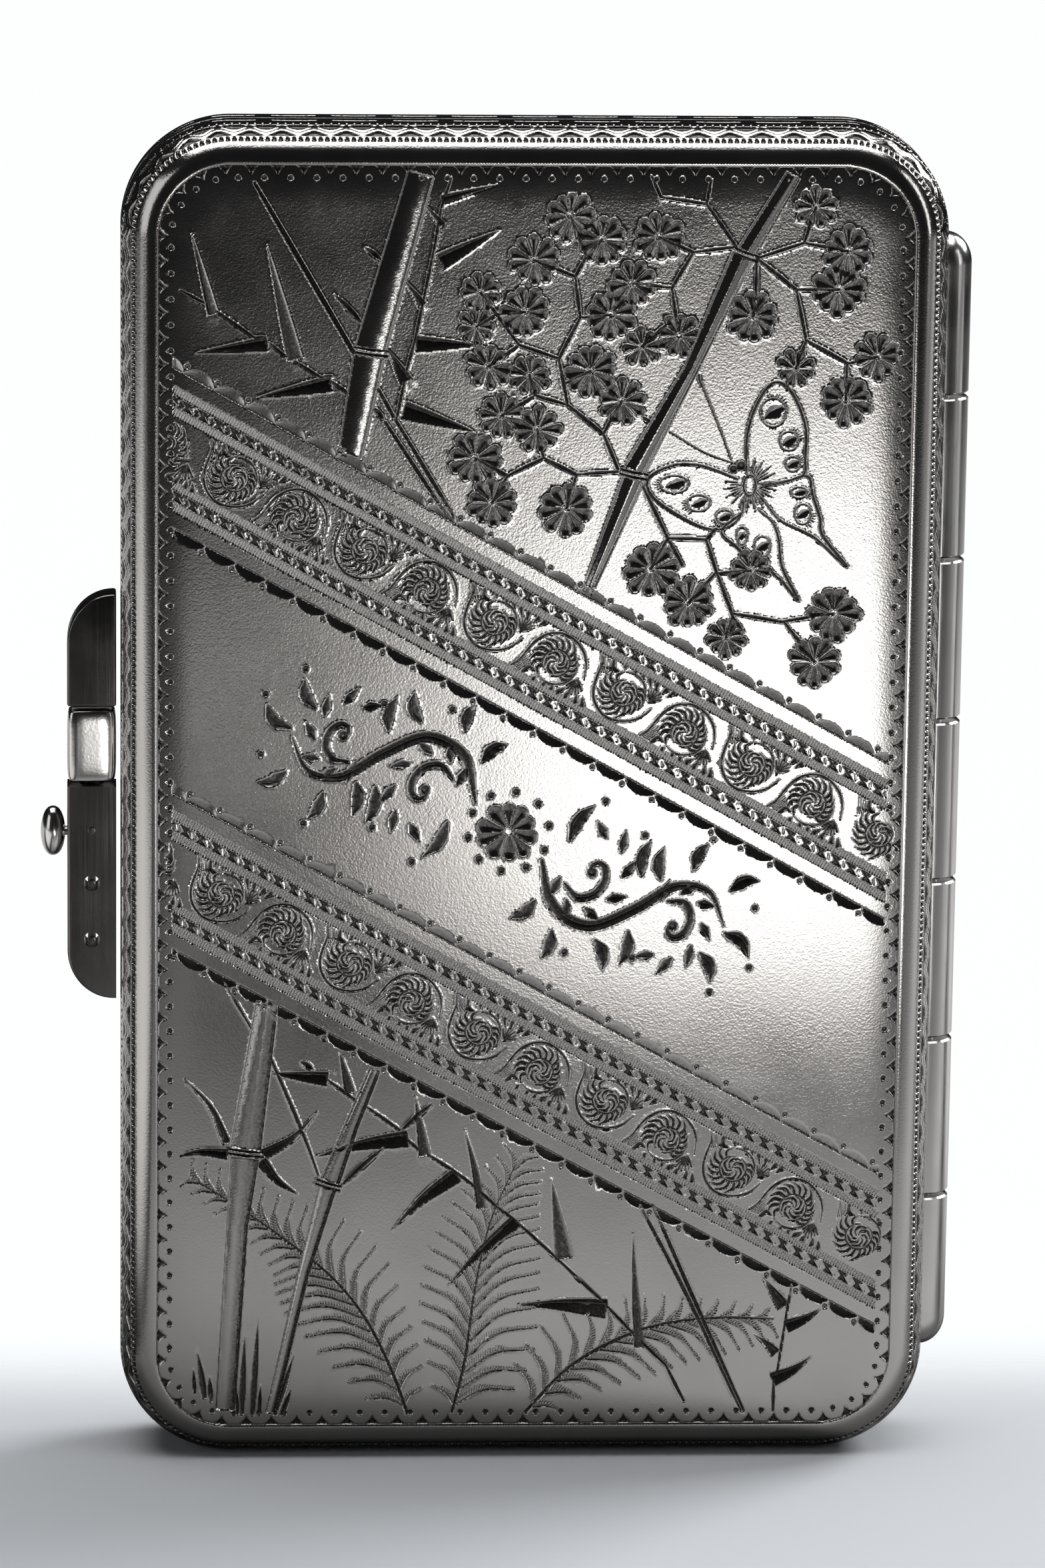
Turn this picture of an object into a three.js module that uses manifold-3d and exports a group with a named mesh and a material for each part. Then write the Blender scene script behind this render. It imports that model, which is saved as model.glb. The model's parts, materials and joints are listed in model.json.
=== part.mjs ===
// Business card case: two engraved silver half-shells on a seven-knuckle hinge,
// with a sliding-bolt catch on the opposite side and a sprung card clip inside.
// Millimetres. The case stands on its short edge: +Z up, front face towards -Y,
// hinge on the +X side, catch on the -X side. The origin is the middle of the
// bounding box's base, on the parting plane between the two halves.
import * as THREE from 'three';
import { mergeVertices } from 'three/addons/utils/BufferGeometryUtils.js';
import Module from 'manifold-3d';

const wasm = await Module();
wasm.setup();

// ---------------------------------------------------------------- dimensions

// Outer body, with both halves closed
const WIDTH = 60;
const HEIGHT = 100;
const THICKNESS = 10;
const CORNER_RADIUS = 8;
const EDGE_FLAT = 3.6;
const SHOULDER_INSET = 2.2;
const CORNER_SEGMENTS = 8;
const SHOULDER_SEGMENTS = 4;

// Dished panel inside the raised border of each face
const BORDER_WIDTH = 2.7;
const DISH_DEPTH = 0.5;

// Sheet metal and clearances
const WALL = 0.7;
const FLOOR = 0.6;
const GAP = 0.3;
const INNER_SHOULDER_INSET = 1.6;
const INNER_SHOULDER_DEPTH = 2;

// Gilt lining plates and the frame that the front half closes over
const LINER_THICKNESS = 0.3;
const LINER_INSET = 2.1;
const FRAME_WALL = 0.6;
const FRAME_BACK_Y = 2.3;
const FRAME_FRONT_Y = -1;

// Hinge barrel
const KNUCKLES = 7;
const HINGE_BOTTOM = 7.2;
const HINGE_TOP = 92.1;
const HINGE_X = WIDTH / 2;
const HINGE_RADIUS = 1.95;
const HINGE_DOME = 2.3;
const HINGE_BORE = 0.9;
const HINGE_PIN_RADIUS = 0.6;
const HINGE_SEGMENTS = 20;

// Catch: three blocks in line, with a bolt that slides up into the middle one
const CATCH_BOTTOM = 34.6;
const CATCH_TOP = 65.1;
const KEEPER_BOTTOM = 51;
const KEEPER_TOP = 56.4;
const CATCH_THICKNESS = 2.6;
const CATCH_REACH = 3.9;
const CATCH_CORNER_X = 3.4;
const CATCH_CORNER_Z = 3.7;
const CATCH_BEVEL = 0.2;
const BOLT_RADIUS = 0.6;
const BOLT_BORE = 0.9;
const BOLT_OUT = 2.1;
const BOLT_LENGTH = 4.9;
const BOLT_TRAVEL = 2.3;
const NECK_RADIUS = 0.35;
const BALL_Z = 47.1;
const BALL_HALF_HEIGHT = 1.85;
const BALL_HALF_WIDTH = 0.9;
const BALL_HALF_DEPTH = 1.1;
const RIVET_RADIUS = 0.3;
const RIVET_HEIGHTS = { lower: 39.1, upper: 43.4 };

// Card clip
const CLIP_Z = 50;
const CLIP_PIVOT_X = 25;
const CLIP_PIVOT_Y = 1.8;
const CLIP_REACH = 47;
const CLIP_WIDTH = 5.4;
const CLIP_THICKNESS = 0.4;
const CLIP_BARREL_RADIUS = 1.1;
const CLIP_BARREL_BORE = 0.7;
const CLIP_PIN_RADIUS = 0.4;
const CLIP_SPRING_LENGTH = 1.2;
const LUG_WIDTH = 2.2;
const LUG_THICKNESS = 1;

// Derived places
const HALF_THICKNESS = THICKNESS / 2;
const PARTING = GAP / 2;
const DISH_Y = HALF_THICKNESS - DISH_DEPTH;
const CAVITY_Y = DISH_Y - FLOOR;
const LINER_OUTER_Y = CAVITY_Y - GAP;
const LINER_INNER_Y = LINER_OUTER_Y - LINER_THICKNESS;
const CATCH_INNER_X = -WIDTH / 2 - GAP;
const CATCH_OUTER_X = -WIDTH / 2 - CATCH_REACH;
const BOLT_X = -WIDTH / 2 - BOLT_OUT;
const BOLT_TOP = KEEPER_BOTTOM - 2 * GAP;
const BALL_X = CATCH_OUTER_X - GAP / 2 - BALL_HALF_WIDTH;
const CENTRE_X = (BALL_X - BALL_HALF_WIDTH + HINGE_X + HINGE_RADIUS) / 2;

// ----------------------------------------------------------------- materials

const silver = { color: 0x8f8c8b, roughness: 0.38, metalness: 1 };
const darkSilver = { color: 0x5b5857, roughness: 0.42, metalness: 1 };
const brightSilver = { color: 0xd9d6d0, roughness: 0.18, metalness: 1 };
const gilt = { color: 0xc9a14e, roughness: 0.3, metalness: 1 };
const steel = { color: 0x77797c, roughness: 0.35, metalness: 1 };

// ------------------------------------------------------------------- helpers

function toSolid(geometry) {
  const bare = geometry.index ? geometry.toNonIndexed() : geometry.clone();
  bare.deleteAttribute('normal');
  bare.deleteAttribute('uv');
  const merged = mergeVertices(bare, 1e-5);
  return new wasm.Manifold(new wasm.Mesh({
    numProp: 3,
    vertProperties: new Float32Array(merged.attributes.position.array),
    triVerts: new Uint32Array(merged.index.array),
  }));
}

function toGeometry(solid) {
  const mesh = solid.getMesh();
  const geometry = new THREE.BufferGeometry();
  geometry.setAttribute('position', new THREE.BufferAttribute(new Float32Array(mesh.vertProperties), 3));
  geometry.setIndex(new THREE.BufferAttribute(new Uint32Array(mesh.triVerts), 1));
  geometry.computeVertexNormals();
  return geometry;
}

function box(x0, x1, y0, y1, z0, z1) {
  const geometry = new THREE.BoxGeometry(x1 - x0, y1 - y0, z1 - z0);
  return geometry.translate((x0 + x1) / 2, (y0 + y1) / 2, (z0 + z1) / 2);
}

// Cylinder along Z, from z0 to z1
function pole(radius, x, y, z0, z1, segments = 16) {
  const geometry = new THREE.CylinderGeometry(radius, radius, z1 - z0, segments);
  return geometry.rotateX(Math.PI / 2).translate(x, y, (z0 + z1) / 2);
}

// Outline of the case in the X-Z plane, drawn in by inset on every side
function caseOutline(inset) {
  const x = WIDTH / 2 - inset;
  const low = inset;
  const high = HEIGHT - inset;
  const radius = CORNER_RADIUS - inset;
  const shape = new THREE.Shape();
  shape.moveTo(-x + radius, low);
  shape.lineTo(x - radius, low);
  shape.absarc(x - radius, low + radius, radius, -Math.PI / 2, 0);
  shape.lineTo(x, high - radius);
  shape.absarc(x - radius, high - radius, radius, 0, Math.PI / 2);
  shape.lineTo(-x + radius, high);
  shape.absarc(-x + radius, high - radius, radius, Math.PI / 2, Math.PI);
  shape.lineTo(-x, low + radius);
  shape.absarc(-x + radius, low + radius, radius, Math.PI, Math.PI * 1.5);
  return shape;
}

// A shape drawn in X-Z and extruded along Y from y0 to y1; a bevel lies inside that span
function slab(shape, y0, y1, bevel = null) {
  const settings = { depth: y1 - y0, bevelEnabled: false, curveSegments: CORNER_SEGMENTS };
  let start = y0;
  if (bevel) {
    settings.bevelEnabled = true;
    settings.bevelThickness = bevel.depth;
    settings.bevelSize = bevel.inset;
    settings.bevelOffset = -bevel.inset;
    settings.bevelSegments = SHOULDER_SEGMENTS;
    settings.depth -= 2 * bevel.depth;
    start += bevel.depth;
  }
  const geometry = new THREE.ExtrudeGeometry(shape, settings);
  geometry.rotateX(Math.PI / 2);
  return geometry.translate(0, start + settings.depth, 0);
}

function lathe(points, segments) {
  const profile = points.map(([radius, height]) => new THREE.Vector2(radius, height));
  return new THREE.LatheGeometry(profile, segments).rotateX(Math.PI / 2);
}

function piece(parent, name, geometry, finish) {
  const mesh = new THREE.Mesh(geometry, new THREE.MeshStandardMaterial(finish));
  mesh.name = name;
  parent.add(mesh);
  return mesh;
}

// -------------------------------------------------------------------- shells

function hingeGroove() {
  const radius = HINGE_RADIUS + GAP;
  return toSolid(pole(radius, HINGE_X, 0, HINGE_BOTTOM - GAP, HINGE_TOP + GAP, 2 * HINGE_SEGMENTS));
}

// One half of the case. side is -1 for the front half and 1 for the back half.
function halfShell(side) {
  const shoulder = { depth: HALF_THICKNESS - EDGE_FLAT / 2, inset: SHOULDER_INSET };
  const cove = { depth: INNER_SHOULDER_DEPTH, inset: INNER_SHOULDER_INSET };
  const body = toSolid(slab(caseOutline(0), -HALF_THICKNESS, HALF_THICKNESS, shoulder));
  const cavity = toSolid(slab(caseOutline(WALL), -CAVITY_Y, CAVITY_Y, cove));
  const dish = toSolid(slab(caseOutline(BORDER_WIDTH), ...ordered(side * DISH_Y, side * THICKNESS)));
  const [low, high] = ordered(side * PARTING, side * THICKNESS);
  const half = toSolid(box(-WIDTH, WIDTH, low, high, -1, HEIGHT + 1));
  const shell = body.intersect(half).subtract(dish).subtract(cavity).subtract(hingeGroove());
  return toGeometry(shell);
}

function ordered(a, b) {
  return a < b ? [a, b] : [b, a];
}

function liner(side) {
  const [low, high] = ordered(side * LINER_INNER_Y, side * LINER_OUTER_Y);
  return slab(caseOutline(LINER_INSET), low, high);
}

// Frame inside the back half. It stands past the parting plane on three sides
// and stops short of the hinge barrel.
function rebateFrame() {
  const outer = toSolid(slab(caseOutline(WALL + GAP), FRAME_FRONT_Y, FRAME_BACK_Y));
  const inner = toSolid(slab(caseOutline(WALL + GAP + FRAME_WALL), FRAME_FRONT_Y - 1, FRAME_BACK_Y + 1));
  const relief = toSolid(box(CLIP_PIVOT_X, WIDTH, -HALF_THICKNESS, HALF_THICKNESS,
    HINGE_BOTTOM - 1, HINGE_TOP + 1));
  return toGeometry(outer.subtract(inner).subtract(relief));
}

// --------------------------------------------------------------------- hinge

// Plain tube, from z = 0 up to length
function plainKnuckle(length) {
  const points = [[HINGE_BORE, 0], [HINGE_RADIUS, 0], [HINGE_RADIUS, length], [HINGE_BORE, length]];
  points.push(points[0]);
  return lathe(points, HINGE_SEGMENTS);
}

// Tube closed by a dome at the top, from z = 0 up to length
function domedKnuckle(length) {
  const points = [[0, length - HINGE_DOME + 0.6], [HINGE_BORE, length - HINGE_DOME + 0.6]];
  points.push([HINGE_BORE, 0], [HINGE_RADIUS, 0]);
  const steps = 5;
  for (let step = 0; step <= steps; step += 1) {
    const angle = (step / steps) * (Math.PI / 2);
    const radius = step === steps ? 0 : HINGE_RADIUS * Math.cos(angle);
    points.push([radius, length - HINGE_DOME + HINGE_DOME * Math.sin(angle)]);
  }
  return lathe(points, HINGE_SEGMENTS);
}

function addHinge(parent) {
  const hinge = new THREE.Group();
  hinge.position.set(HINGE_X, 0, 0);
  parent.add(hinge);
  const pitch = (HINGE_TOP - HINGE_BOTTOM) / KNUCKLES;
  const length = pitch - GAP;
  for (let index = 0; index < KNUCKLES; index += 1) {
    const bottom = HINGE_BOTTOM + index * pitch + GAP / 2;
    const isEnd = index === 0 || index === KNUCKLES - 1;
    const geometry = isEnd ? domedKnuckle(length) : plainKnuckle(length);
    const knuckle = piece(hinge, `hinge_knuckle_${index + 1}`, geometry, darkSilver);
    knuckle.position.z = bottom;
    if (index === 0) {
      knuckle.rotation.x = Math.PI;
      knuckle.position.z = bottom + length;
    }
  }
  const pinMargin = HINGE_DOME;
  const pin = pole(HINGE_PIN_RADIUS, 0, 0, HINGE_BOTTOM + pinMargin, HINGE_TOP - pinMargin);
  piece(hinge, 'hinge_pin', pin, steel);
}

// --------------------------------------------------------------------- catch

// Outline of the whole catch. Its root runs on into the case, and its two outer corners are round.
function catchOutline() {
  const root = CATCH_INNER_X + CATCH_REACH;
  const edge = CATCH_OUTER_X;
  const shape = new THREE.Shape();
  shape.moveTo(root, CATCH_BOTTOM);
  shape.lineTo(root, CATCH_TOP);
  shape.lineTo(edge + CATCH_CORNER_X, CATCH_TOP);
  shape.absellipse(edge + CATCH_CORNER_X, CATCH_TOP - CATCH_CORNER_Z, CATCH_CORNER_X, CATCH_CORNER_Z,
    Math.PI / 2, Math.PI);
  shape.lineTo(edge, CATCH_BOTTOM + CATCH_CORNER_Z);
  shape.absellipse(edge + CATCH_CORNER_X, CATCH_BOTTOM + CATCH_CORNER_Z, CATCH_CORNER_X, CATCH_CORNER_Z,
    Math.PI, Math.PI * 1.5);
  return shape;
}

function catchBlock(z0, z1) {
  const half = CATCH_THICKNESS / 2;
  const bevel = { depth: CATCH_BEVEL, inset: CATCH_BEVEL };
  const whole = toSolid(slab(catchOutline(), -half, half, bevel));
  return whole.intersect(toSolid(box(-WIDTH, CATCH_INNER_X, -half - 1, half + 1, z0, z1)));
}

function lowerHousing() {
  const top = KEEPER_BOTTOM - GAP;
  const boltBottom = BOLT_TOP - BOLT_LENGTH;
  const bore = toSolid(pole(BOLT_BORE, BOLT_X, 0, boltBottom - GAP, top + 1));
  const slotHalf = NECK_RADIUS + GAP;
  const slot = toSolid(box(CATCH_OUTER_X - 1, BOLT_X, -slotHalf, slotHalf,
    BALL_Z - slotHalf, BALL_Z + BOLT_TRAVEL + slotHalf));
  const pocket = toSolid(box(BOLT_X, CATCH_INNER_X - 0.35, -0.7, 0.7, boltBottom + 0.2, top - 0.6));
  let housing = catchBlock(CATCH_BOTTOM, top).subtract(bore).subtract(slot).subtract(pocket);
  for (const height of Object.values(RIVET_HEIGHTS)) {
    housing = housing.subtract(toSolid(rivet(RIVET_RADIUS + GAP, CATCH_THICKNESS + 1, height)));
  }
  return toGeometry(housing);
}

function keeper() {
  const bore = toSolid(pole(BOLT_BORE, BOLT_X, 0, KEEPER_BOTTOM - 1, KEEPER_BOTTOM + BOLT_TRAVEL + GAP));
  return toGeometry(catchBlock(KEEPER_BOTTOM, KEEPER_TOP).subtract(bore));
}

function rivet(radius, length, height) {
  return new THREE.CylinderGeometry(radius, radius, length, 12).translate(BOLT_X, 0, height);
}

// Bolt with the side neck that carries the ball
function bolt() {
  const bar = toSolid(pole(BOLT_RADIUS, BOLT_X, 0, BOLT_TOP - BOLT_LENGTH, BOLT_TOP));
  const neckEnd = BALL_X + GAP;
  const neck = new THREE.CylinderGeometry(NECK_RADIUS, NECK_RADIUS, BOLT_X - neckEnd, 12);
  neck.rotateZ(Math.PI / 2).translate((BOLT_X + neckEnd) / 2, 0, BALL_Z);
  return toGeometry(bar.add(toSolid(neck)));
}

function ball() {
  const oval = new THREE.SphereGeometry(1, 20, 14);
  oval.rotateX(Math.PI / 2).scale(BALL_HALF_WIDTH, BALL_HALF_DEPTH, BALL_HALF_HEIGHT);
  oval.translate(BALL_X, 0, BALL_Z);
  const socketRadius = NECK_RADIUS + GAP;
  const socket = new THREE.CylinderGeometry(socketRadius, socketRadius, BALL_HALF_WIDTH * 2, 12);
  socket.rotateZ(Math.PI / 2).translate(BALL_X + BALL_HALF_WIDTH, 0, BALL_Z);
  return toGeometry(toSolid(oval).subtract(toSolid(socket)));
}

function addCatch(parent) {
  piece(parent, 'catch_upper_block', toGeometry(catchBlock(KEEPER_TOP + GAP, CATCH_TOP + 1)), darkSilver);
  piece(parent, 'catch_keeper', keeper(), brightSilver);
  piece(parent, 'catch_lower_housing', lowerHousing(), darkSilver);
  piece(parent, 'catch_bolt', bolt(), steel);
  piece(parent, 'catch_ball', ball(), brightSilver);
  const leafX = BOLT_X + BOLT_RADIUS + GAP;
  const leafBottom = BOLT_TOP - BOLT_LENGTH + 0.5;
  piece(parent, 'catch_detent_spring', box(leafX, leafX + 0.2, -0.4, 0.4, leafBottom, leafBottom + 3.8), steel);
  for (const [place, height] of Object.entries(RIVET_HEIGHTS)) {
    piece(parent, `housing_rivet_${place}`, rivet(RIVET_RADIUS, CATCH_THICKNESS, height), darkSilver);
  }
}

// ----------------------------------------------------------------- card clip

function addCardClip(parent) {
  const clip = new THREE.Group();
  clip.position.set(CLIP_PIVOT_X, CLIP_PIVOT_Y, CLIP_Z);
  parent.add(clip);

  const half = CLIP_WIDTH / 2;
  const barrelBottom = -half + CLIP_SPRING_LENGTH + GAP;
  const barrel = toSolid(pole(CLIP_BARREL_RADIUS, 0, 0, barrelBottom, half));
  const barrelBore = toSolid(pole(CLIP_BARREL_BORE, 0, 0, -half - 1, half + 1));
  const leaf = new THREE.Shape();
  leaf.moveTo(0, barrelBottom);
  leaf.lineTo(0, half);
  leaf.lineTo(-CLIP_REACH + half, half);
  leaf.absarc(-CLIP_REACH + half, 0, half, Math.PI / 2, Math.PI * 1.5);
  leaf.lineTo(-CLIP_BARREL_RADIUS * 2, -half);
  leaf.lineTo(-CLIP_BARREL_RADIUS * 2, barrelBottom);
  const leafSolid = toSolid(slab(leaf, CLIP_BARREL_RADIUS - CLIP_THICKNESS, CLIP_BARREL_RADIUS));
  piece(clip, 'card_clip', toGeometry(barrel.add(leafSolid).subtract(barrelBore)), gilt);

  const springTop = -half + CLIP_SPRING_LENGTH;
  const ring = [[CLIP_BARREL_BORE, -half], [CLIP_BARREL_RADIUS, -half],
    [CLIP_BARREL_RADIUS, springTop], [CLIP_BARREL_BORE, springTop], [CLIP_BARREL_BORE, -half]];
  piece(clip, 'clip_spring', lathe(ring, 16), steel);

  const lugOuter = half + GAP + LUG_THICKNESS;
  piece(clip, 'clip_pin', pole(CLIP_PIN_RADIUS, 0, 0, -lugOuter, lugOuter, 12), steel);
  for (const [name, middle] of [['clip_lug_lower', -1], ['clip_lug_upper', 1]]) {
    const [z0, z1] = ordered(middle * (half + GAP), middle * lugOuter);
    const foot = LINER_INNER_Y - GAP - CLIP_PIVOT_Y;
    const lug = toSolid(box(-LUG_WIDTH / 2, LUG_WIDTH / 2, -CLIP_BARREL_RADIUS, foot, z0, z1));
    const eye = toSolid(pole(CLIP_PIN_RADIUS + GAP, 0, 0, z0 - 1, z1 + 1, 12));
    piece(clip, name, toGeometry(lug.subtract(eye)), gilt);
  }
}

// ------------------------------------------------------------------ assembly

const cardCase = new THREE.Group();
cardCase.name = 'card_case';
cardCase.position.x = -CENTRE_X;

piece(cardCase, 'front_shell', halfShell(-1), silver);
piece(cardCase, 'back_shell', halfShell(1), silver);
piece(cardCase, 'front_liner', liner(-1), gilt);
piece(cardCase, 'back_liner', liner(1), gilt);
piece(cardCase, 'rebate_frame', rebateFrame(), gilt);
addHinge(cardCase);
addCatch(cardCase);
addCardClip(cardCase);

export default cardCase;
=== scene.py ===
"""Engraved silver business card case: the looks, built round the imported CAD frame.

The two faces are chased in relief: every cut is a real dent in the mesh. A face is laid out flat in
millimetres (x to the right, z up, measured from the middle of the base), its cuts are pressed into
a height map, and the map is wrapped over the rounded edge of the case and meshed as finely as its
detail needs.

The points of the front's plants and butterfly were picked on the photo and converted to millimetres by
a scratch script, so their places follow the photo's engraving, and so do those of its two bands. The
flourish on the middle panel and the plants on the back don't.
"""
import json
import math

import bmesh
import bpy
import numpy as np
from mathutils import Matrix, Vector

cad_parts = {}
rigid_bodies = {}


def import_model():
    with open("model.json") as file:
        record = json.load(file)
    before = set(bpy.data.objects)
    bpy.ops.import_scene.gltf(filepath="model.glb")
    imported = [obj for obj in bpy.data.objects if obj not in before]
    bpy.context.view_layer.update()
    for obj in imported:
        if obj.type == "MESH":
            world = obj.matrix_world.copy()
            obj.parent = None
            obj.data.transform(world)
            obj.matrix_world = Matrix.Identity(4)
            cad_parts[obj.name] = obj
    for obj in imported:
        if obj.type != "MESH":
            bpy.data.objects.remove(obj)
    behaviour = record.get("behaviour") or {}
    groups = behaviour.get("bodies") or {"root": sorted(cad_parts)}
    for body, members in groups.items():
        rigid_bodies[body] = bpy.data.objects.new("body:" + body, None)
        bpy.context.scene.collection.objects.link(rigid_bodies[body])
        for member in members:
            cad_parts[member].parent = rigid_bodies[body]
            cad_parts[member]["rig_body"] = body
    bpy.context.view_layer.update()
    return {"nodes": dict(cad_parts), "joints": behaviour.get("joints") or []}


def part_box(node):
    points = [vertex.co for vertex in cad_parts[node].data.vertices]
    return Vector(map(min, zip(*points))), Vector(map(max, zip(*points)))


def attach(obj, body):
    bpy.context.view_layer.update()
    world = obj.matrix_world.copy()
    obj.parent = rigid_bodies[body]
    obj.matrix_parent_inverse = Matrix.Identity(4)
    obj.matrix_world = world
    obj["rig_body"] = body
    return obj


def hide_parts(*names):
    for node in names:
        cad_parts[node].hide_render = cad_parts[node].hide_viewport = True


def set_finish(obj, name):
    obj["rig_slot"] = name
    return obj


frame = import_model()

# ---------------------------------------------------------------- the frame's sizes, in millimetres
MM = 0.001
JOINTS = {joint["name"]: joint for joint in frame["joints"]}


def node_box(name):
    """Lowest and highest corner of a CAD node, in millimetres from the middle of the case's base."""
    low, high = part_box(name)
    shift = Vector((CENTRE_X, 0, 0))
    return (low - shift) / MM, (high - shift) / MM


HINGE_AXIS = Vector(JOINTS["lid_hinge"]["pos_m"])
SHELL_LOW, SHELL_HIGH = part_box("front_shell")
CENTRE_X = (SHELL_LOW.x + HINGE_AXIS.x) / 2
HALF_WIDTH = (HINGE_AXIS.x - SHELL_LOW.x) / 2 / MM
HEIGHT = SHELL_HIGH.z / MM
MIDDLE = HEIGHT / 2

# ---------------------------------------------------------------- section through the edge of a half
BORDER = 2.75              # inset of the border line that frames the engraved field
EDGE_RADIUS = 8.0          # corner radius of the case
LINE_RADIUS = EDGE_RADIUS - BORDER
WALL_DEPTH = 1.8           # straight part of the side wall
PARTING_GAP = 0.1          # the two halves stay this far from the parting plane
SHOULDER = 3.5             # radius of the rounded edge
CREST_RADIUS = 1.82
SHOULDER_ANGLE = math.radians(35)
BEAD_ANGLE = math.radians(22)
BEAD_RADIUS = 0.5
FILLET_RADIUS = 0.3
PILLOW_REACH = 2.7         # the field rounds down over this distance towards the border line
PILLOW_RISE = 0.12


def edge_section():
    """Key, outward offset from the border line, depth and tilt along the section of a half-shell.
    The key is the offset inside the line and the length along the surface outside it."""
    rows = []

    def sweep(centre, radius, start, end, bulge=1, steps=24):
        for tilt in np.linspace(start, end, steps):
            rows.append((centre[0] + bulge * radius * math.sin(tilt),
                         centre[1] + bulge * radius * math.cos(tilt), tilt))

    wall = BORDER
    shoulder = (wall - SHOULDER, WALL_DEPTH)
    joint = (shoulder[0] + SHOULDER * math.sin(SHOULDER_ANGLE),
             shoulder[1] + SHOULDER * math.cos(SHOULDER_ANGLE))
    crest = (joint[0] - CREST_RADIUS * math.sin(SHOULDER_ANGLE),
             joint[1] - CREST_RADIUS * math.cos(SHOULDER_ANGLE))
    bead = (crest[0], crest[1] + CREST_RADIUS - BEAD_RADIUS)
    reach = BEAD_RADIUS + FILLET_RADIUS
    fillet = (bead[0] - reach * math.sin(BEAD_ANGLE), bead[1] + reach * math.cos(BEAD_ANGLE))
    sweep(fillet, FILLET_RADIUS, 0, -BEAD_ANGLE, bulge=-1)
    sweep(bead, BEAD_RADIUS, -BEAD_ANGLE, 0)
    sweep(crest, CREST_RADIUS, 0, SHOULDER_ANGLE)
    sweep(shoulder, SHOULDER, SHOULDER_ANGLE, math.pi / 2)
    rows.append((wall, PARTING_GAP, math.pi / 2))
    offset, depth, tilt = np.array(rows).T
    length = np.concatenate([[0], np.cumsum(np.hypot(np.diff(offset), np.diff(depth)))])
    length -= np.interp(0, offset[:60], length[:60])
    key = np.where(offset < 0, offset, length)
    order = np.concatenate([[True], np.diff(key) > 1e-6])
    return key[order], offset[order], depth[order], tilt[order]


KEY, OFFSET, DEPTH, TILT = edge_section()
FIELD_DEPTH = DEPTH[0]
RIM = KEY[-1]              # length of surface from the border line to the parting edge


def key_at_tilt(degrees):
    """How far outside the border line the rounded edge has tilted by this much."""
    rising = KEY > 0.3
    return float(np.interp(math.radians(degrees), TILT[rising], KEY[rising]))


# ---------------------------------------------------------------- the flat layout and its grid
GRID = 2048
SPAN = MIDDLE - BORDER + RIM
STEP = 2 * SPAN / GRID
AXIS = np.linspace(-SPAN, SPAN, GRID + 1)
FLAT_X, FLAT_Z = np.meshgrid(AXIS, AXIS + MIDDLE)
STRAIGHT_X = HALF_WIDTH - BORDER - LINE_RADIUS
STRAIGHT_Z = MIDDLE - BORDER - LINE_RADIUS


def line_distance(x, z):
    """Distance outside the border line (negative inside), and the unit direction away from it."""
    qx, qz = np.abs(x) - STRAIGHT_X, np.abs(z - MIDDLE) - STRAIGHT_Z
    cx, cz = np.maximum(qx, 0), np.maximum(qz, 0)
    corner = np.hypot(cx, cz)
    distance = corner + np.minimum(np.maximum(qx, qz), 0) - LINE_RADIUS
    safe = np.where(corner > 1e-9, corner, 1)
    away_x = np.where(corner > 1e-9, cx / safe, (qx > qz).astype(float)) * np.sign(x)
    away_z = np.where(corner > 1e-9, cz / safe, (qx <= qz).astype(float)) * np.sign(z - MIDDLE)
    return distance, away_x, away_z


DISTANCE, AWAY_X, AWAY_Z = line_distance(FLAT_X, FLAT_Z)


def row_phase(x, z, offset, pitch):
    """Phase of an evenly spaced row that runs round the case at a plan offset from the line.
    It is mirrored in each quarter, and a quarter holds a whole number of half pitches."""
    qx, qz = np.abs(x) - STRAIGHT_X, np.abs(z - MIDDLE) - STRAIGHT_Z
    turn = np.where((qx > 0) | (qz > 0), np.arctan2(np.maximum(qx, 0), np.maximum(qz, 1e-9)), 0)
    radius = LINE_RADIUS + offset
    along = np.where(qx <= 0, np.abs(x), STRAIGHT_X + radius * turn)
    side = STRAIGHT_X + radius * math.pi / 2 - np.minimum(qz, 0)
    along = np.where((qz <= 0) & (qx > qz), side, along)
    quarter = STRAIGHT_X + radius * math.pi / 2 + STRAIGHT_Z
    count = round(2 * quarter / pitch) / 2
    return along / quarter * count, quarter / count


def smooth(value, low=0.0, high=1.0):
    """Eased ramp from 0 at low to 1 at high."""
    t = np.clip((value - low) / (high - low), 0, 1)
    return t * t * (3 - 2 * t)


def spline(points, steps=6):
    """Points along a smooth curve through the given ones."""
    pts = np.array(points, float)
    if len(pts) < 3:
        return pts
    ends = np.vstack([2 * pts[0] - pts[1], pts, 2 * pts[-1] - pts[-2]])
    out = []
    for a, b, c, d in zip(ends[:-3], ends[1:-2], ends[2:-1], ends[3:]):
        for t in np.linspace(0, 1, steps, endpoint=False):
            out.append(0.5 * (2 * b + (c - a) * t + (2 * a - 5 * b + 4 * c - d) * t ** 2
                              + (3 * b - a - 3 * c + d) * t ** 3))
    out.append(pts[-1])
    return np.array(out)


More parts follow.
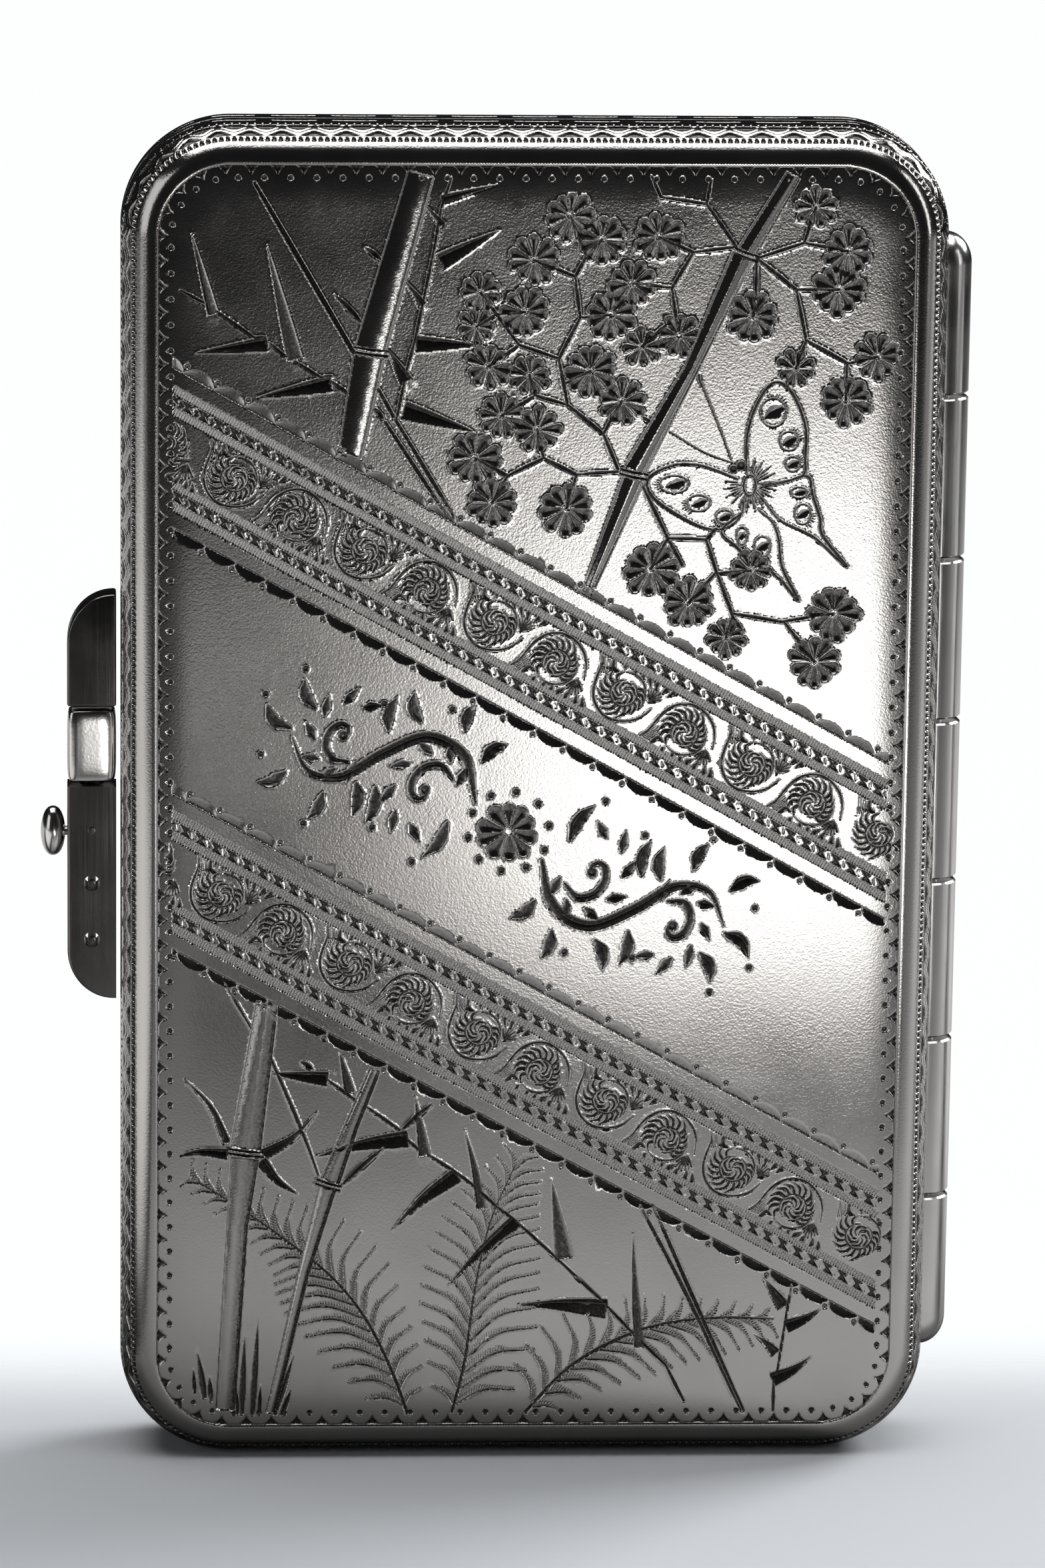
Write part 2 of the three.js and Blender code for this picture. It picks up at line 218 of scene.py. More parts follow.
class Plate:
    """Height map of one face in its flat layout: zero is the plain surface, cuts are negative."""

    def __init__(self):
        self.height = np.zeros(FLAT_X.shape, np.float32)
        # darkness of each point: patina in the cuts, partly painted shade
        self.patina_and_shade = np.zeros(FLAT_X.shape, np.float32)
        self.random = np.random.default_rng(7)

    def window(self, low, high):
        """Slices and coordinates of the part of the layout between two corners."""
        j0, j1 = (int(np.clip((v + SPAN) / STEP, 0, GRID)) for v in (low[0], high[0]))
        i0, i1 = (int(np.clip((v + SPAN - MIDDLE) / STEP, 0, GRID)) for v in (low[1], high[1]))
        cut = (slice(i0, i1 + 2), slice(j0, j1 + 2))
        return cut, FLAT_X[cut], FLAT_Z[cut]

    def press(self, cut, depth, edge=None, lip=0.0, lip_width=0.07, patina_and_shade=0.9):
        """Lowers the window to -depth where that is deeper, and darkens it with patina and painted shade.
        edge is the distance outside the cut, beyond which the metal that it pushed up stands as a low lip."""
        part = self.height[cut]
        dark = self.patina_and_shade[cut]
        dark[:] = np.where((depth > 0) & (part > -depth), patina_and_shade * np.clip(depth / 0.06, 0, 1), dark)
        if lip and edge is not None:
            ridge = lip * np.exp(-(np.maximum(edge, 0) / lip_width) ** 2)
            part[:] = np.where((depth <= 0) & (part > -0.004), np.maximum(part, ridge), part)
        part[:] = np.where(depth > 0, np.minimum(part, -depth), part)

    def groove(self, points, width, depth, shape=(0, 1, 0), bias=0.0, hollow=1.0,
               square_end=False, lip=0.012, steps=6, patina_and_shade=0.9):
        """A cut along a curve. shape scales its half width along the way; bias moves the deepest
        line to one side, as a tilted graver does; hollow under 1 rounds the bottom."""
        line = spline(points, steps)
        half = width / 2
        margin = half + 0.25
        cut, x, z = self.window(line.min(0) - margin, line.max(0) + margin)
        if x.size == 0:
            return
        leg = np.diff(line, axis=0)
        legs = np.hypot(*leg.T)
        start = np.concatenate([[0], np.cumsum(legs)])
        best = np.full(x.shape, 1e9)
        along = np.zeros(x.shape)
        side = np.zeros(x.shape)
        over = np.zeros(x.shape, bool)
        for k, (p, v, size) in enumerate(zip(line, leg, legs)):
            if size < 1e-9:
                continue
            dx, dz = x - p[0], z - p[1]
            raw = (dx * v[0] + dz * v[1]) / size ** 2
            t = np.clip(raw, 0, 1)
            away = np.hypot(dx - t * v[0], dz - t * v[1])
            near = away < best
            best = np.where(near, away, best)
            along = np.where(near, (start[k] + t * size) / start[-1], along)
            side = np.where(near, np.where(v[0] * dz - v[1] * dx >= 0, away, -away), side)
            over = np.where(near, (raw > 1) & (k == len(legs) - 1), over)
        scale = np.interp(along, np.linspace(0, 1, len(shape)), shape)
        w = np.maximum(half * scale, 1e-6)
        apex = bias * w
        slope = np.where(side > apex, (w - side) / (w - apex), (w + side) / (w + apex))
        slope = np.clip(slope, 0, 1) ** hollow
        pressed = depth * slope * np.clip(scale, 0, 1) ** 0.6
        edge = best - w
        if square_end:
            pressed = np.where(over, 0, pressed)
            edge = np.where(over, np.maximum(edge, 0.1), edge)
        self.press(cut, pressed, edge, lip, patina_and_shade=patina_and_shade)

    def cut_with_patina_and_shade(self, rows, height):
        """Sets new heights over the rows, darkened with patina and painted shade where the metal was lowered.
        """
        fresh = height < self.height[rows] - 0.004
        self.patina_and_shade[rows] = np.where(fresh, 0.9 * np.clip(-height / 0.07, 0, 1), self.patina_and_shade[rows])
        self.height[rows] = height

    def punch(self, x0, z0, radius, depth=0.13, lip=0.02):
        """A round dot with a raised rim."""
        cut, x, z = self.window((x0 - radius - 0.3, z0 - radius - 0.3),
                                (x0 + radius + 0.3, z0 + radius + 0.3))
        away = np.hypot(x - x0, z - z0)
        self.press(cut, depth * np.sqrt(np.clip(1 - (away / radius) ** 2, 0, 1)),
                   away - radius, lip)


def raised(height, lip):
    """Adds a low ridge wherever the metal hasn't been cut."""
    return np.where((lip > 0.002) & (height > -0.012), np.maximum(height, lip), height)


# ---------------------------------------------------------------- running borders
SPADE_PITCH = 1.87
SCALLOP_RADIUS = 0.9
DOT_INSET = 0.87
TEETH_TILT, TICK_TILT = 47, 78


def cut_frame_border(plate):
    """The rows that run right round a face: punched scallops inside the line, then over the edge
    a row of teeth, a waving ribbon and a row of fine ticks."""
    rows = np.nonzero((DISTANCE > -2.0) & (DISTANCE < RIM + 0.2))
    x, z, d = FLAT_X[rows], FLAT_Z[rows], DISTANCE[rows]
    height = plate.height[rows]

    phase, pitch = row_phase(x, z, 0, SPADE_PITCH)
    across = (np.abs(phase - np.floor(phase) - 0.5)) * pitch
    disc = np.hypot(across, d + DOT_INSET) - SCALLOP_RADIUS
    ridge = 0.35 * smooth(1 - np.abs(across - pitch / 2) / 0.2)
    spade = np.clip(disc / 0.16, 0, 1) * smooth(-d, 0, 0.06) * smooth(d, -0.72, -0.62)
    height = np.minimum(height, -0.17 * spade * (1 - ridge))
    rim = np.exp(-((disc + 0.07) / 0.06) ** 2) * smooth(d, -0.85, -0.45) * smooth(-d, 0.05, 0.2)
    height = raised(height, 0.03 * rim)
    away = np.hypot(across, d + DOT_INSET)
    dot = np.sqrt(np.clip(1 - (away / 0.2) ** 2, 0, 1))
    height = np.where(dot > 0, np.minimum(height, -0.15 * dot), height)
    burr = 0.025 * np.exp(-((away - 0.25) / 0.05) ** 2)
    height = raised(height, burr * (away > 0.19))
    height = np.minimum(height, -0.07 * np.clip(1 - np.abs(d - 0.02) / 0.07, 0, 1))

    teeth_key = key_at_tilt(TEETH_TILT)
    teeth_offset = float(np.interp(teeth_key, KEY, OFFSET))
    phase, pitch = row_phase(x, z, teeth_offset, 0.475)
    across = np.abs(phase - np.round(phase)) * pitch
    reach = np.clip((d - teeth_key + 0.2) / 0.42, 0, 1)
    tooth = np.clip(1 - (across / (0.19 * (1 - 0.55 * reach) + 0.01)) ** 2, 0, 1)
    inside = smooth(d, teeth_key - 0.2, teeth_key - 0.12) * smooth(-d, -teeth_key - 0.24,
                                                                   -teeth_key - 0.16)
    height = np.minimum(height, -0.15 * np.sqrt(tooth) * inside)
    lip = np.exp(-((d - teeth_key + 0.3) / 0.06) ** 2)
    height = raised(height, 0.02 * lip)

    tick_key = key_at_tilt(TICK_TILT)
    low, high = teeth_key + 0.33, tick_key - 0.2
    centre, swing, half = (low + high) / 2, 0.26, 0.33
    phase, pitch = row_phase(x, z, float(np.interp(centre, KEY, OFFSET)), 2.3)
    wave = centre + swing * np.cos(2 * math.pi * phase)
    outside = np.abs(d - wave) - half
    band = smooth(d, low, low + 0.06) * smooth(-d, -high, -high + 0.06)
    height = np.minimum(height, -0.16 * np.clip(outside / 0.22, 0, 1) * band)
    vein = np.clip(1 - np.abs(d - wave) / 0.06, 0, 1) * (np.abs(np.sin(math.pi * phase)) > 0.35)
    height = np.minimum(height, -0.04 * vein * band)

    phase, pitch = row_phase(x, z, float(np.interp(tick_key, KEY, OFFSET)), 0.55)
    across = np.abs(phase - np.round(phase)) * pitch
    tick = np.clip(1 - across / 0.11, 0, 1) * np.clip(1 - np.abs(d - tick_key) / 0.17, 0, 1) ** 0.5
    height = np.minimum(height, -0.11 * tick)
    plate.cut_with_patina_and_shade(rows, height)


def cut_edge_slashes(plate):
    """A sparse row of long tapered slashes along the plain strip next to the parting edge."""
    outer = KEY > 1.5
    key = float(np.interp(1.2, DEPTH[outer][::-1], KEY[outer][::-1]))
    rows = np.nonzero((DISTANCE > key - 0.6) & (DISTANCE < key + 0.6))
    x, z, d = FLAT_X[rows], FLAT_Z[rows], DISTANCE[rows]
    phase, pitch = row_phase(x, z, BORDER, 4.4)
    across = np.abs(phase - np.round(phase)) * pitch
    half = 0.22 * np.clip(1 - (across / 1.6) ** 2, 0, 1)
    cut = np.clip(1 - np.abs(d - key) / np.maximum(half, 1e-6), 0, 1) * (half > 0)
    plate.cut_with_patina_and_shade(rows, np.minimum(plate.height[rows], -0.13 * cut))


# ---------------------------------------------------------------- diagonal bands
BAND_HALF = 5.08           # the centre line of a band to the cusps of its scallops
SCALLOP_PITCH = 2.52
SCALLOP_RISE = 0.74
MILLED = ((3.43, 4.07), (2.06, 2.66))
CHAIN_MIDDLE, CHAIN_HALF = 3.05, 0.33
MILL_PITCH = 0.21
SCROLL_PITCH = 5.43


class Band:
    """A diagonal strip of the face. Its own u runs down to the right and v runs up across it."""

    def __init__(self, x, z, degrees):
        self.origin = np.array([x, z])
        self.along = np.array([math.cos(math.radians(degrees)), -math.sin(math.radians(degrees))])
        self.up = np.array([-self.along[1], self.along[0]])

    def place(self, u, v):
        return self.origin + u * self.along + v * self.up

    def measure(self, x, z):
        dx, dz = x - self.origin[0], z - self.origin[1]
        return dx * self.along[0] + dz * self.along[1], dx * self.up[0] + dz * self.up[1]


def cut_band_rows(plate, band):
    """Everything on a band that repeats along it: edge scallops with dots, milled strips, chains."""
    u, v = band.measure(FLAT_X, FLAT_Z)
    rows = np.nonzero((np.abs(v) < BAND_HALF + 1.2) & (DISTANCE < -0.3))
    u, v, d = u[rows], v[rows], DISTANCE[rows]
    q = np.abs(v)
    height = plate.height[rows]
    inside = smooth(-d, 1.0, 1.15)

    x = (u / SCALLOP_PITCH - np.floor(u / SCALLOP_PITCH) - 0.5) * 2
    rise = SCALLOP_RISE * np.clip(1 - np.abs(x) ** 2.2, 0, 1) ** 0.62
    t = q - BAND_HALF
    open_side = (t > 0) & (t < rise)
    slope = np.clip(1 - t / np.maximum(rise, 1e-6), 0, 1) ** 0.85
    wall = smooth(t, 0, 0.06)
    scoop = 0.2 * slope * wall * np.clip(rise / SCALLOP_RISE, 0, 1) ** 0.5 * open_side * inside
    height = np.where(scoop > 0, np.minimum(height, -scoop), height)
    rim = np.exp(-((t - rise - 0.04) / 0.05) ** 2) * (t > rise) * inside
    height = np.where((scoop <= 0) & (rim > 0.05), np.maximum(height, 0.022 * rim), height)

    x = u / SCALLOP_PITCH - np.round(u / SCALLOP_PITCH)
    away = np.hypot(x * SCALLOP_PITCH - 0.04, t - 0.62)
    dot = np.sqrt(np.clip(1 - (away / 0.2) ** 2, 0, 1)) * inside
    height = np.where(dot > 0, np.minimum(height, -0.15 * dot), height)
    burr = np.exp(-((away - 0.25) / 0.05) ** 2) * inside
    height = np.where((dot <= 0) & (burr > 0.1), np.maximum(height, 0.025 * burr), height)

    for low, high in MILLED:
        edge = smooth(q, low, low + 0.05) * smooth(-q, -high, -high + 0.05) * inside
        rib = 0.5 + 0.5 * np.cos(2 * math.pi * u / MILL_PITCH)
        height = np.minimum(height, -0.08 * rib ** 2 * edge)

    t = (q - CHAIN_MIDDLE) / CHAIN_HALF
    turn = np.sign(v) * t
    phase = u / 1.29 + 0.16 * turn
    x = np.abs(phase - np.round(phase)) * 1.29
    leaf = 0.36 * np.clip(1 - np.abs(t) ** 1.5, 0, 1) + 0.1
    gap = np.clip((x - leaf) / 0.14, 0, 1) * (np.abs(t) < 1)
    height = np.minimum(height, -0.15 * gap * inside * smooth(1 - np.abs(t), 0, 0.15))
    vein = np.clip(1 - np.abs(x - 0.02) / 0.06, 0, 1) * (np.abs(t) < 0.6)
    height = np.minimum(height, -0.03 * vein * inside)
    plate.cut_with_patina_and_shade(rows, height)
    # less patina and painted shade on the scallops and the milled strips
    bright = (q > BAND_HALF) & inside.astype(bool)
    milled = sum((q > low) & (q < high) for low, high in MILLED).astype(bool)
    kept = np.where(bright, 0.45, np.where(milled, 0.6, 1))
    plate.patina_and_shade[rows] = kept * plate.patina_and_shade[rows]


def cut_scroll(plate, band, u0, flip):
    """One rosette of the scrollwork, with the vine that swings round it and leaves in its corners.
    Neighbours are turned upside down by flip, so that the vine runs on as one wave."""

    def at(u, v):
        return band.place(u0 + u, flip * v)

    if line_distance(*at(0, 0))[0] > 0.4:
        return

    def stroke(points, width, depth=0.13, shape=(0.1, 1, 0.1), **more):
        pts = [at(*p) for p in points]
        if min(line_distance(*p)[0] for p in pts) < -0.7:
            if max(line_distance(*p)[0] for p in pts) < -0.55:
                more["bias"] = more.get("bias", 0) * flip
                plate.groove(pts, width, depth, shape, steps=4, **more)

    def ring(radius, angle):
        a = math.radians(angle)
        return 0.1 + radius * math.cos(a), 0.22 + radius * math.sin(a)

    for k in range(6):
        a = 60 * k + 20
        stroke([ring(0.86, a), ring(0.74, a + 38), ring(0.46, a + 78), ring(0.14, a + 120)],
               0.23, 0.15, (0.5, 1, 0.8, 0.2), bias=0.25)
    stroke([ring(1.0, a) for a in range(-250, 110, 30)], 0.15, 0.13, (0.3, 1, 1, 1, 1, 0.5))
    for k in range(14):
        a = 128 + 20 * k
        long = 0.95 if 130 < a < 300 else 0.55
        stroke([ring(1.12, a + 16), ring(1.12 + 0.5 * long, a + 9), ring(1.12 + long, a - 12)],
               0.25, 0.16, (0.9, 1, 0.55, 0), bias=0.35)
    stroke([ring(1.62, a) for a in range(118, -50, -24)], 0.15, 0.12, (0.2, 1, 1, 0.8, 0.2))
    vine = [(-2.75, 1.95), (-2.35, 1.2), (-2.2, 0.3), (-1.95, -0.65), (-1.35, -1.45), (-0.4, -1.93),
            (0.6, -1.85), (1.5, -1.4), (2.1, -0.7), (2.45, 0.2)]
    stroke(vine, 0.2, 0.14, (0.4, 1, 1, 1, 0.9, 0.4))
    for k in range(5):
        lean = 0.14 * k
        stroke([(-2.6 + lean, 1.9), (-2.25 + lean, 1.25), (-2.02 + lean, 0.5 + 0.12 * k)],
               0.09, 0.08, (0.6, 1, 0))
    stroke([(-1.75, 1.95), (-1.5, 1.45), (-0.95, 1.5)], 0.42, 0.16, (0.7, 1, 0.1), bias=0.4)
    for k in range(7):
        a = math.radians(40 + 14 * k)
        root = (1.95 + 0.03 * k, 0.45)
        reach = 1.25 - 0.08 * abs(k - 3)
        tip = (root[0] + reach * math.cos(a), min(1.93, root[1] + reach * math.sin(a)))
        stroke([root, tip], 0.13 if k % 2 else 0.24, 0.13, (0, 1, 0.6))
    for x, lean in ((1.3, 0.4), (1.95, 0.15), (2.75, -0.2), (3.3, -0.3)):
        stroke([(x, 1.99), (x + lean, 1.45)], 0.46, 0.16, (1, 0.55, 0), square_end=True)
    for x in (-0.75, 0.1, 0.75):
        stroke([(x, 2.0), (x + 0.12, 1.8)], 0.4, 0.14, (1, 0.4, 0), square_end=True)


def cut_band(plate, band, first, flip):
    cut_band_rows(plate, band)
    for k in range(-12, 13):
        cut_scroll(plate, band, first + k * SCROLL_PITCH, flip if k % 2 == 0 else -flip)


# ---------------------------------------------------------------- plants, blossoms and the butterfly
UPPER_LEFT = np.array([-0.5, 0.85])


def tilt_to_light(start, end, amount):
    """Bias that puts the deep side of a cut on its upper left."""
    v = np.array(end, float) - np.array(start, float)
    return amount if np.dot([-v[1], v[0]], UPPER_LEFT) > 0 else -amount


def flower(plate, x, z, radius):
    """A blossom of petals scooped outwards from the middle with a round graver."""
    petals = 8 if radius < 1.55 else (9 if radius < 1.85 else 10)
    turn = plate.random.uniform(0, 2 * math.pi)
    for k in range(petals):
        a = turn + 2 * math.pi * k / petals + plate.random.uniform(-0.07, 0.07)
        reach = radius * plate.random.uniform(0.86, 1.04)
        width = 0.47 * radius * plate.random.uniform(0.9, 1.08)
        out = reach - width / 2
        near = 0.2 * radius
        plate.groove([(x + near * math.cos(a), z + near * math.sin(a)),
                      (x + out * math.cos(a), z + out * math.sin(a))],
                     width, 0.26, (0.22, 0.62, 1), hollow=0.6, lip=0.03, patina_and_shade=0.6)


def twig(plate, points, width=0.32):
    """Straight cuts joined end to end, each a little fuller in its middle."""
    for a, b in zip(points[:-1], points[1:]):
        plate.groove([a, b], width, 0.19, (0.6, 1, 0.75), lip=0.022)


def blade(plate, tip, base_a, base_b=None, depth=0.26, bend=0.0, amount=0.45):
    """A tapering leaf from its tip to a square base; without a second base point both ends taper."""
    tip, base_a = np.array(tip, float), np.array(base_a, float)
    base = base_a if base_b is None else (base_a + np.array(base_b, float)) / 2
    wide = 0.45 if base_b is None else float(np.hypot(*(base_a - base_b)))
    v = base - tip
    middle = (tip + base) / 2 + bend * np.array([-v[1], v[0]])
    shape = (0, 0.75, 1, 0.8, 0.1) if base_b is None else (0, 0.3, 0.58, 0.82, 1)
    plate.groove([tip, middle, base], wide, depth, shape, bias=tilt_to_light(tip, base, amount),
                 square_end=base_b is not None, lip=0.03, patina_and_shade=0.85)


STALK_SECTION = ((-1, 0), (-0.93, -0.2), (-0.8, -0.16), (-0.5, -0.1), (-0.2, -0.06), (0.1, -0.04),
                 (0.35, -0.035), (0.7, -0.06), (0.88, -0.1), (0.93, -0.15), (1, 0))
ROUND_SECTION = ((-1, 0), (-0.92, -0.2), (-0.6, -0.11), (-0.25, -0.045), (0.05, -0.03), (0.35, -0.08),
                 (0.65, -0.17), (0.9, -0.27), (1, 0))
CANE_SECTION = ((-1, 0), (-0.75, -0.2), (-0.3, -0.1), (0, -0.03), (0.2, -0.03), (0.6, -0.16), (0.8, -0.2),
                (1, 0))


def stalk(plate, left, right, section=STALK_SECTION, shade=0.2):
    """A length of bamboo between its left and right edges, rounded across as the section says, with
    painted shade towards its right as strong as shade says."""
    left, right = np.array(left, float), np.array(right, float)
    line = (left + right) / 2
    widths = np.hypot(*(right - left).T)
    cut, x, z = plate.window(line.min(0) - widths.max(), line.max(0) + widths.max())
    place, value = np.array(section).T
    for k in range(len(line) - 1):
        v = line[k + 1] - line[k]
        size = np.hypot(*v)
        dx, dz = x - line[k][0], z - line[k][1]
        t = (dx * v[0] + dz * v[1]) / size ** 2
        across = (v[0] * dz - v[1] * dx) / size
        half = np.interp(t, [0, 1], widths[k:k + 2]) / 2
        n = -across / half if v[1] > 0 else across / half
        on = (t >= -0.02) & (t <= 1.02) & (np.abs(n) < 1)
        heights = np.interp(n, place, value)
        part = plate.height[cut]
        part[:] = np.where(on, heights, part)
        dark = plate.patina_and_shade[cut]
        # painted shade towards the right side, with patina and painted shade in the edge cuts
        shade_and_patina = np.maximum(shade * smooth(n, -0.35, 0.4), 0.25 * np.clip((np.abs(n) - 0.8) / 0.2, 0, 1))
        dark[:] = np.where(on, shade_and_patina, dark)
        rim = np.exp(-((np.abs(n) - 1) * half / 0.05) ** 2) * (t > 0) * (t < 1)
        beside = ~on & (rim > 0.1) & (part > -0.01)
        part[:] = np.where(beside, np.maximum(part, 0.02 * rim), part)


def node_ring(plate, a, b):
    """The collar at a joint of the bamboo: two cross cuts with a polished ridge between them."""
    a, b = np.array(a, float), np.array(b, float)
    v = (b - a) / np.hypot(*(b - a))
    down = np.array([v[1], -v[0]])
    for shift in (0.0, 0.34):
        plate.groove([a + down * shift - 0.08 * v, (a + b) / 2 + down * (shift + 0.06),
                      b + down * shift + 0.08 * v], 0.2, 0.3, (0.7, 1, 0.8), lip=0.05)


def measured(line):
    """The legs of a line of points, and the length run up to each point."""
    leg = np.diff(line, axis=0)
    return leg, np.concatenate([[0], np.cumsum(np.hypot(*leg.T))])


def point_along(line, run, s):
    """The point that lies a length s along the line."""
    return np.array([np.interp(s, run, line[:, 0]), np.interp(s, run, line[:, 1])])


def pinna(plate, root, tip, bend, comb, side):
    """One leaflet of a fern: a curved lower edge with a comb of fine cuts above it."""
    root, tip = np.array(root, float), np.array(tip, float)
    v = tip - root
    up = side * np.array([-v[1], v[0]]) / np.hypot(*v)
    middle = (root + tip) / 2 + bend * np.hypot(*v) * up
    line = spline([root, middle, tip], 12)
    plate.groove([root, middle, tip], 0.13, 0.08, (1, 0.9, 0.4), lip=0.03, patina_and_shade=0.6)
    leg, run = measured(line)
    for s in np.arange(0.22, run[-1] - 0.1, 0.2):
        t = s / run[-1]
        p = point_along(line, run, s)
        k = min(int(np.searchsorted(run, s)) - 1, len(leg) - 1)
        d = leg[k] / np.hypot(*leg[k])
        n = side * np.array([-d[1], d[0]])
        reach = comb * (0.35 + 0.65 * math.sin(math.pi * min(1, t * 1.2 + 0.18))) * (1 - 0.35 * t)
        q = p + reach * (0.8 * n + 0.6 * d) + 0.05 * n
        plate.groove([p + 0.07 * n, q], 0.11, 0.07, (0.5, 1, 0.35), lip=0, steps=2, patina_and_shade=0.6)


def fern(plate, spine, lengths_left, lengths_right, lean=62, comb=0.62, gap=1.25, first=0.6):
    """A frond: its spine from the foot to the tip, and leaflets whose lengths are read from two
    short lists along it, left and right of the way it grows."""
    line = spline(spine, 10)
    leg, run = measured(line)
    plate.groove(spine, 0.3, 0.16, (1, 0.9, 0.7, 0.4), lip=0.02)
    for s in np.arange(first, run[-1], gap):
        t = s / run[-1]
        p = point_along(line, run, s)
        k = min(int(np.searchsorted(run, s)), len(leg)) - 1
        heading = math.atan2(leg[k][1], leg[k][0])
        for side, lengths in ((1, lengths_left), (-1, lengths_right)):
            size = float(np.interp(t, np.linspace(0, 1, len(lengths)), lengths))
            if size < 0.5:
                continue
            a = heading + side * math.radians(lean * (1 - 0.35 * t))
            start = p + 0.1 * np.array([math.cos(a), math.sin(a)])
            end = p + size * np.array([math.cos(a), math.sin(a)])
            pinna(plate, start, end, 0.13, comb * min(1, size / 3), -side)


def wing(plate, outline, spots, root):
    """A butterfly wing: bold outline, ringed spots with a faceted heart, hatching and rays."""
    plate.groove(outline, 0.24, 0.14, (0.5, 1, 1, 1, 0.8, 0.5), lip=0.015, steps=5)
    for x, z, rx, rz in spots:
        ring = [(x + rx * math.cos(a), z + rz * math.sin(a)) for a in np.linspace(0, 6.283, 13)]
        plate.groove(ring, 0.1, 0.07, (1, 1), lip=0.01, steps=2)
        plate.groove([(x - 0.55 * rx, z - 0.3 * rz), (x + 0.6 * rx, z + 0.35 * rz)],
                     1.05 * min(rx, rz), 0.12, (0.1, 0.8, 1, 0.4), bias=0.3, lip=0, patina_and_shade=0.25)
        heading = math.atan2(z - root[1], x - root[0])
        for k in range(-3, 4):
            a = heading + 0.2 * k
            far = np.array([x + (rx + 0.1) * math.cos(a), z + (rz + 0.1) * math.sin(a)])
            plate.groove([far, far + 0.3 * np.array([math.cos(a), math.sin(a)])],
                         0.08, 0.05, (1, 0.4), lip=0, steps=2)
    middle = np.mean(np.array([s[:2] for s in spots]), axis=0)
    aim = math.atan2(middle[1] - root[1], middle[0] - root[0])
    for k in range(-3, 4):
        a = aim + 0.16 * k
        d = np.array([math.cos(a), math.sin(a)])
        far = 0.42 * np.hypot(*(middle - root)) * (1.25 if k % 2 else 0.95)
        plate.groove([root + 0.55 * d, root + far * d], 0.14, 0.08, (0.2, 1, 0), lip=0)


def cut_butterfly(plate):
    """A plain swallowtail shape with round spots."""
    root = np.array([15.6, 74.1])
    wing(plate, [(15.4, 74.8), (15.3, 77.0), (15.7, 79.2), (16.8, 81.3), (17.9, 81.5), (18.9, 80.2),
                 (19.6, 78.2), (19.6, 76.2), (19.5, 74.8), (18.0, 74.3), (16.4, 74.1)],
         ((17.2, 79.4, 0.95, 1.05), (18.4, 77.3, 0.7, 0.7), (18.7, 75.6, 0.55, 0.55)), root)
    wing(plate, [(16.4, 73.9), (18.0, 74.2), (19.8, 74.7), (20.2, 73.3), (20.8, 71.5), (21.0, 70.3),
                 (22.8, 68.0), (20.6, 70.0), (19.6, 70.6), (17.8, 71.5), (16.7, 72.8)],
         ((19.2, 73.5, 0.6, 0.4), (19.5, 71.9, 0.6, 0.75)), root)
    wing(plate, [(14.7, 74.5), (13.2, 75.1), (11.8, 75.5), (10.1, 75.5), (8.3, 74.6), (8.5, 73.2),
                 (10.6, 71.7), (12.6, 70.8), (14.0, 70.9), (15.0, 71.8), (15.2, 72.9)],
         ((10.1, 74.1, 1.05, 0.65), (11.9, 72.7, 0.85, 0.6), (13.8, 71.7, 0.6, 0.5)), root)
    wing(plate, [(15.0, 72.0), (13.6, 70.6), (14.8, 69.4), (15.9, 68.2), (17.6, 67.4), (19.3, 65.5),
                 (18.1, 67.9), (17.8, 70.0), (17.3, 71.3), (16.3, 72.2)],
         ((15.1, 70.3, 0.4, 0.65), (16.6, 69.5, 0.6, 0.75)), root)
    for x, z, r in ((14.4, 75.2, 0.3), (14.95, 75.45, 0.36)):
        plate.punch(x, z, r)
    ring = [(15.6 + 0.45 * math.cos(a), 74.0 + 0.75 * math.sin(a)) for a in np.linspace(0, 6.283, 11)]
    plate.groove(ring, 0.16, 0.12, (1, 1), lip=0.02, steps=2)
    for tip in ((11.8, 81.9), (9.7, 78.0)):
        bend = (0.5 * (tip[0] + 14.3) + 0.2, 0.5 * (tip[1] + 75.6) - 0.3)
        plate.groove([(14.3, 75.7), bend, tip], 0.1, 0.07, (0.6, 1, 1), lip=0)
    plate.groove([(11.9, 81.3), (11.75, 82.1)], 0.3, 0.14, (0.3, 0.7, 1), lip=0)


# Each blossom's middle and radius, in millimetres, converted from places picked on the photo
FLOWERS = ((2.3, 93.7, 1.9), (4.6, 92.0, 1.9), (8.7, 92.2, 1.9), (-0.3, 90.5, 1.9), (-4.1, 88.1, 1.6),
           (-0.9, 86.7, 1.9), (-4.4, 85.6, 1.5), (6.8, 88.8, 1.8), (5.3, 86.5, 2.0), (7.6, 84.2, 1.5),
           (10.3, 85.0, 1.7), (-3.5, 82.7, 1.8), (-0.5, 82.1, 1.6), (3.9, 82.4, 2.0), (6.2, 80.2, 1.8),
           (-2.5, 79.1, 1.7), (0.1, 78.1, 1.8), (-4.4, 76.0, 2.0), (-3.1, 72.7, 1.9), (2.3, 72.3, 2.1),
           (20.0, 94.4, 1.6), (22.4, 91.2, 2.0), (21.8, 88.4, 2.1), (15.6, 86.4, 2.0),
           (24.7, 83.5, 1.8), (18.8, 82.6, 1.5), (22.5, 80.3, 2.0), (8.5, 67.8, 2.1),
           (11.3, 65.3, 2.0), (15.8, 67.7, 1.7), (14.1, 62.7, 1.6), (21.9, 64.5, 2.1),
           (20.6, 60.9, 2.0))
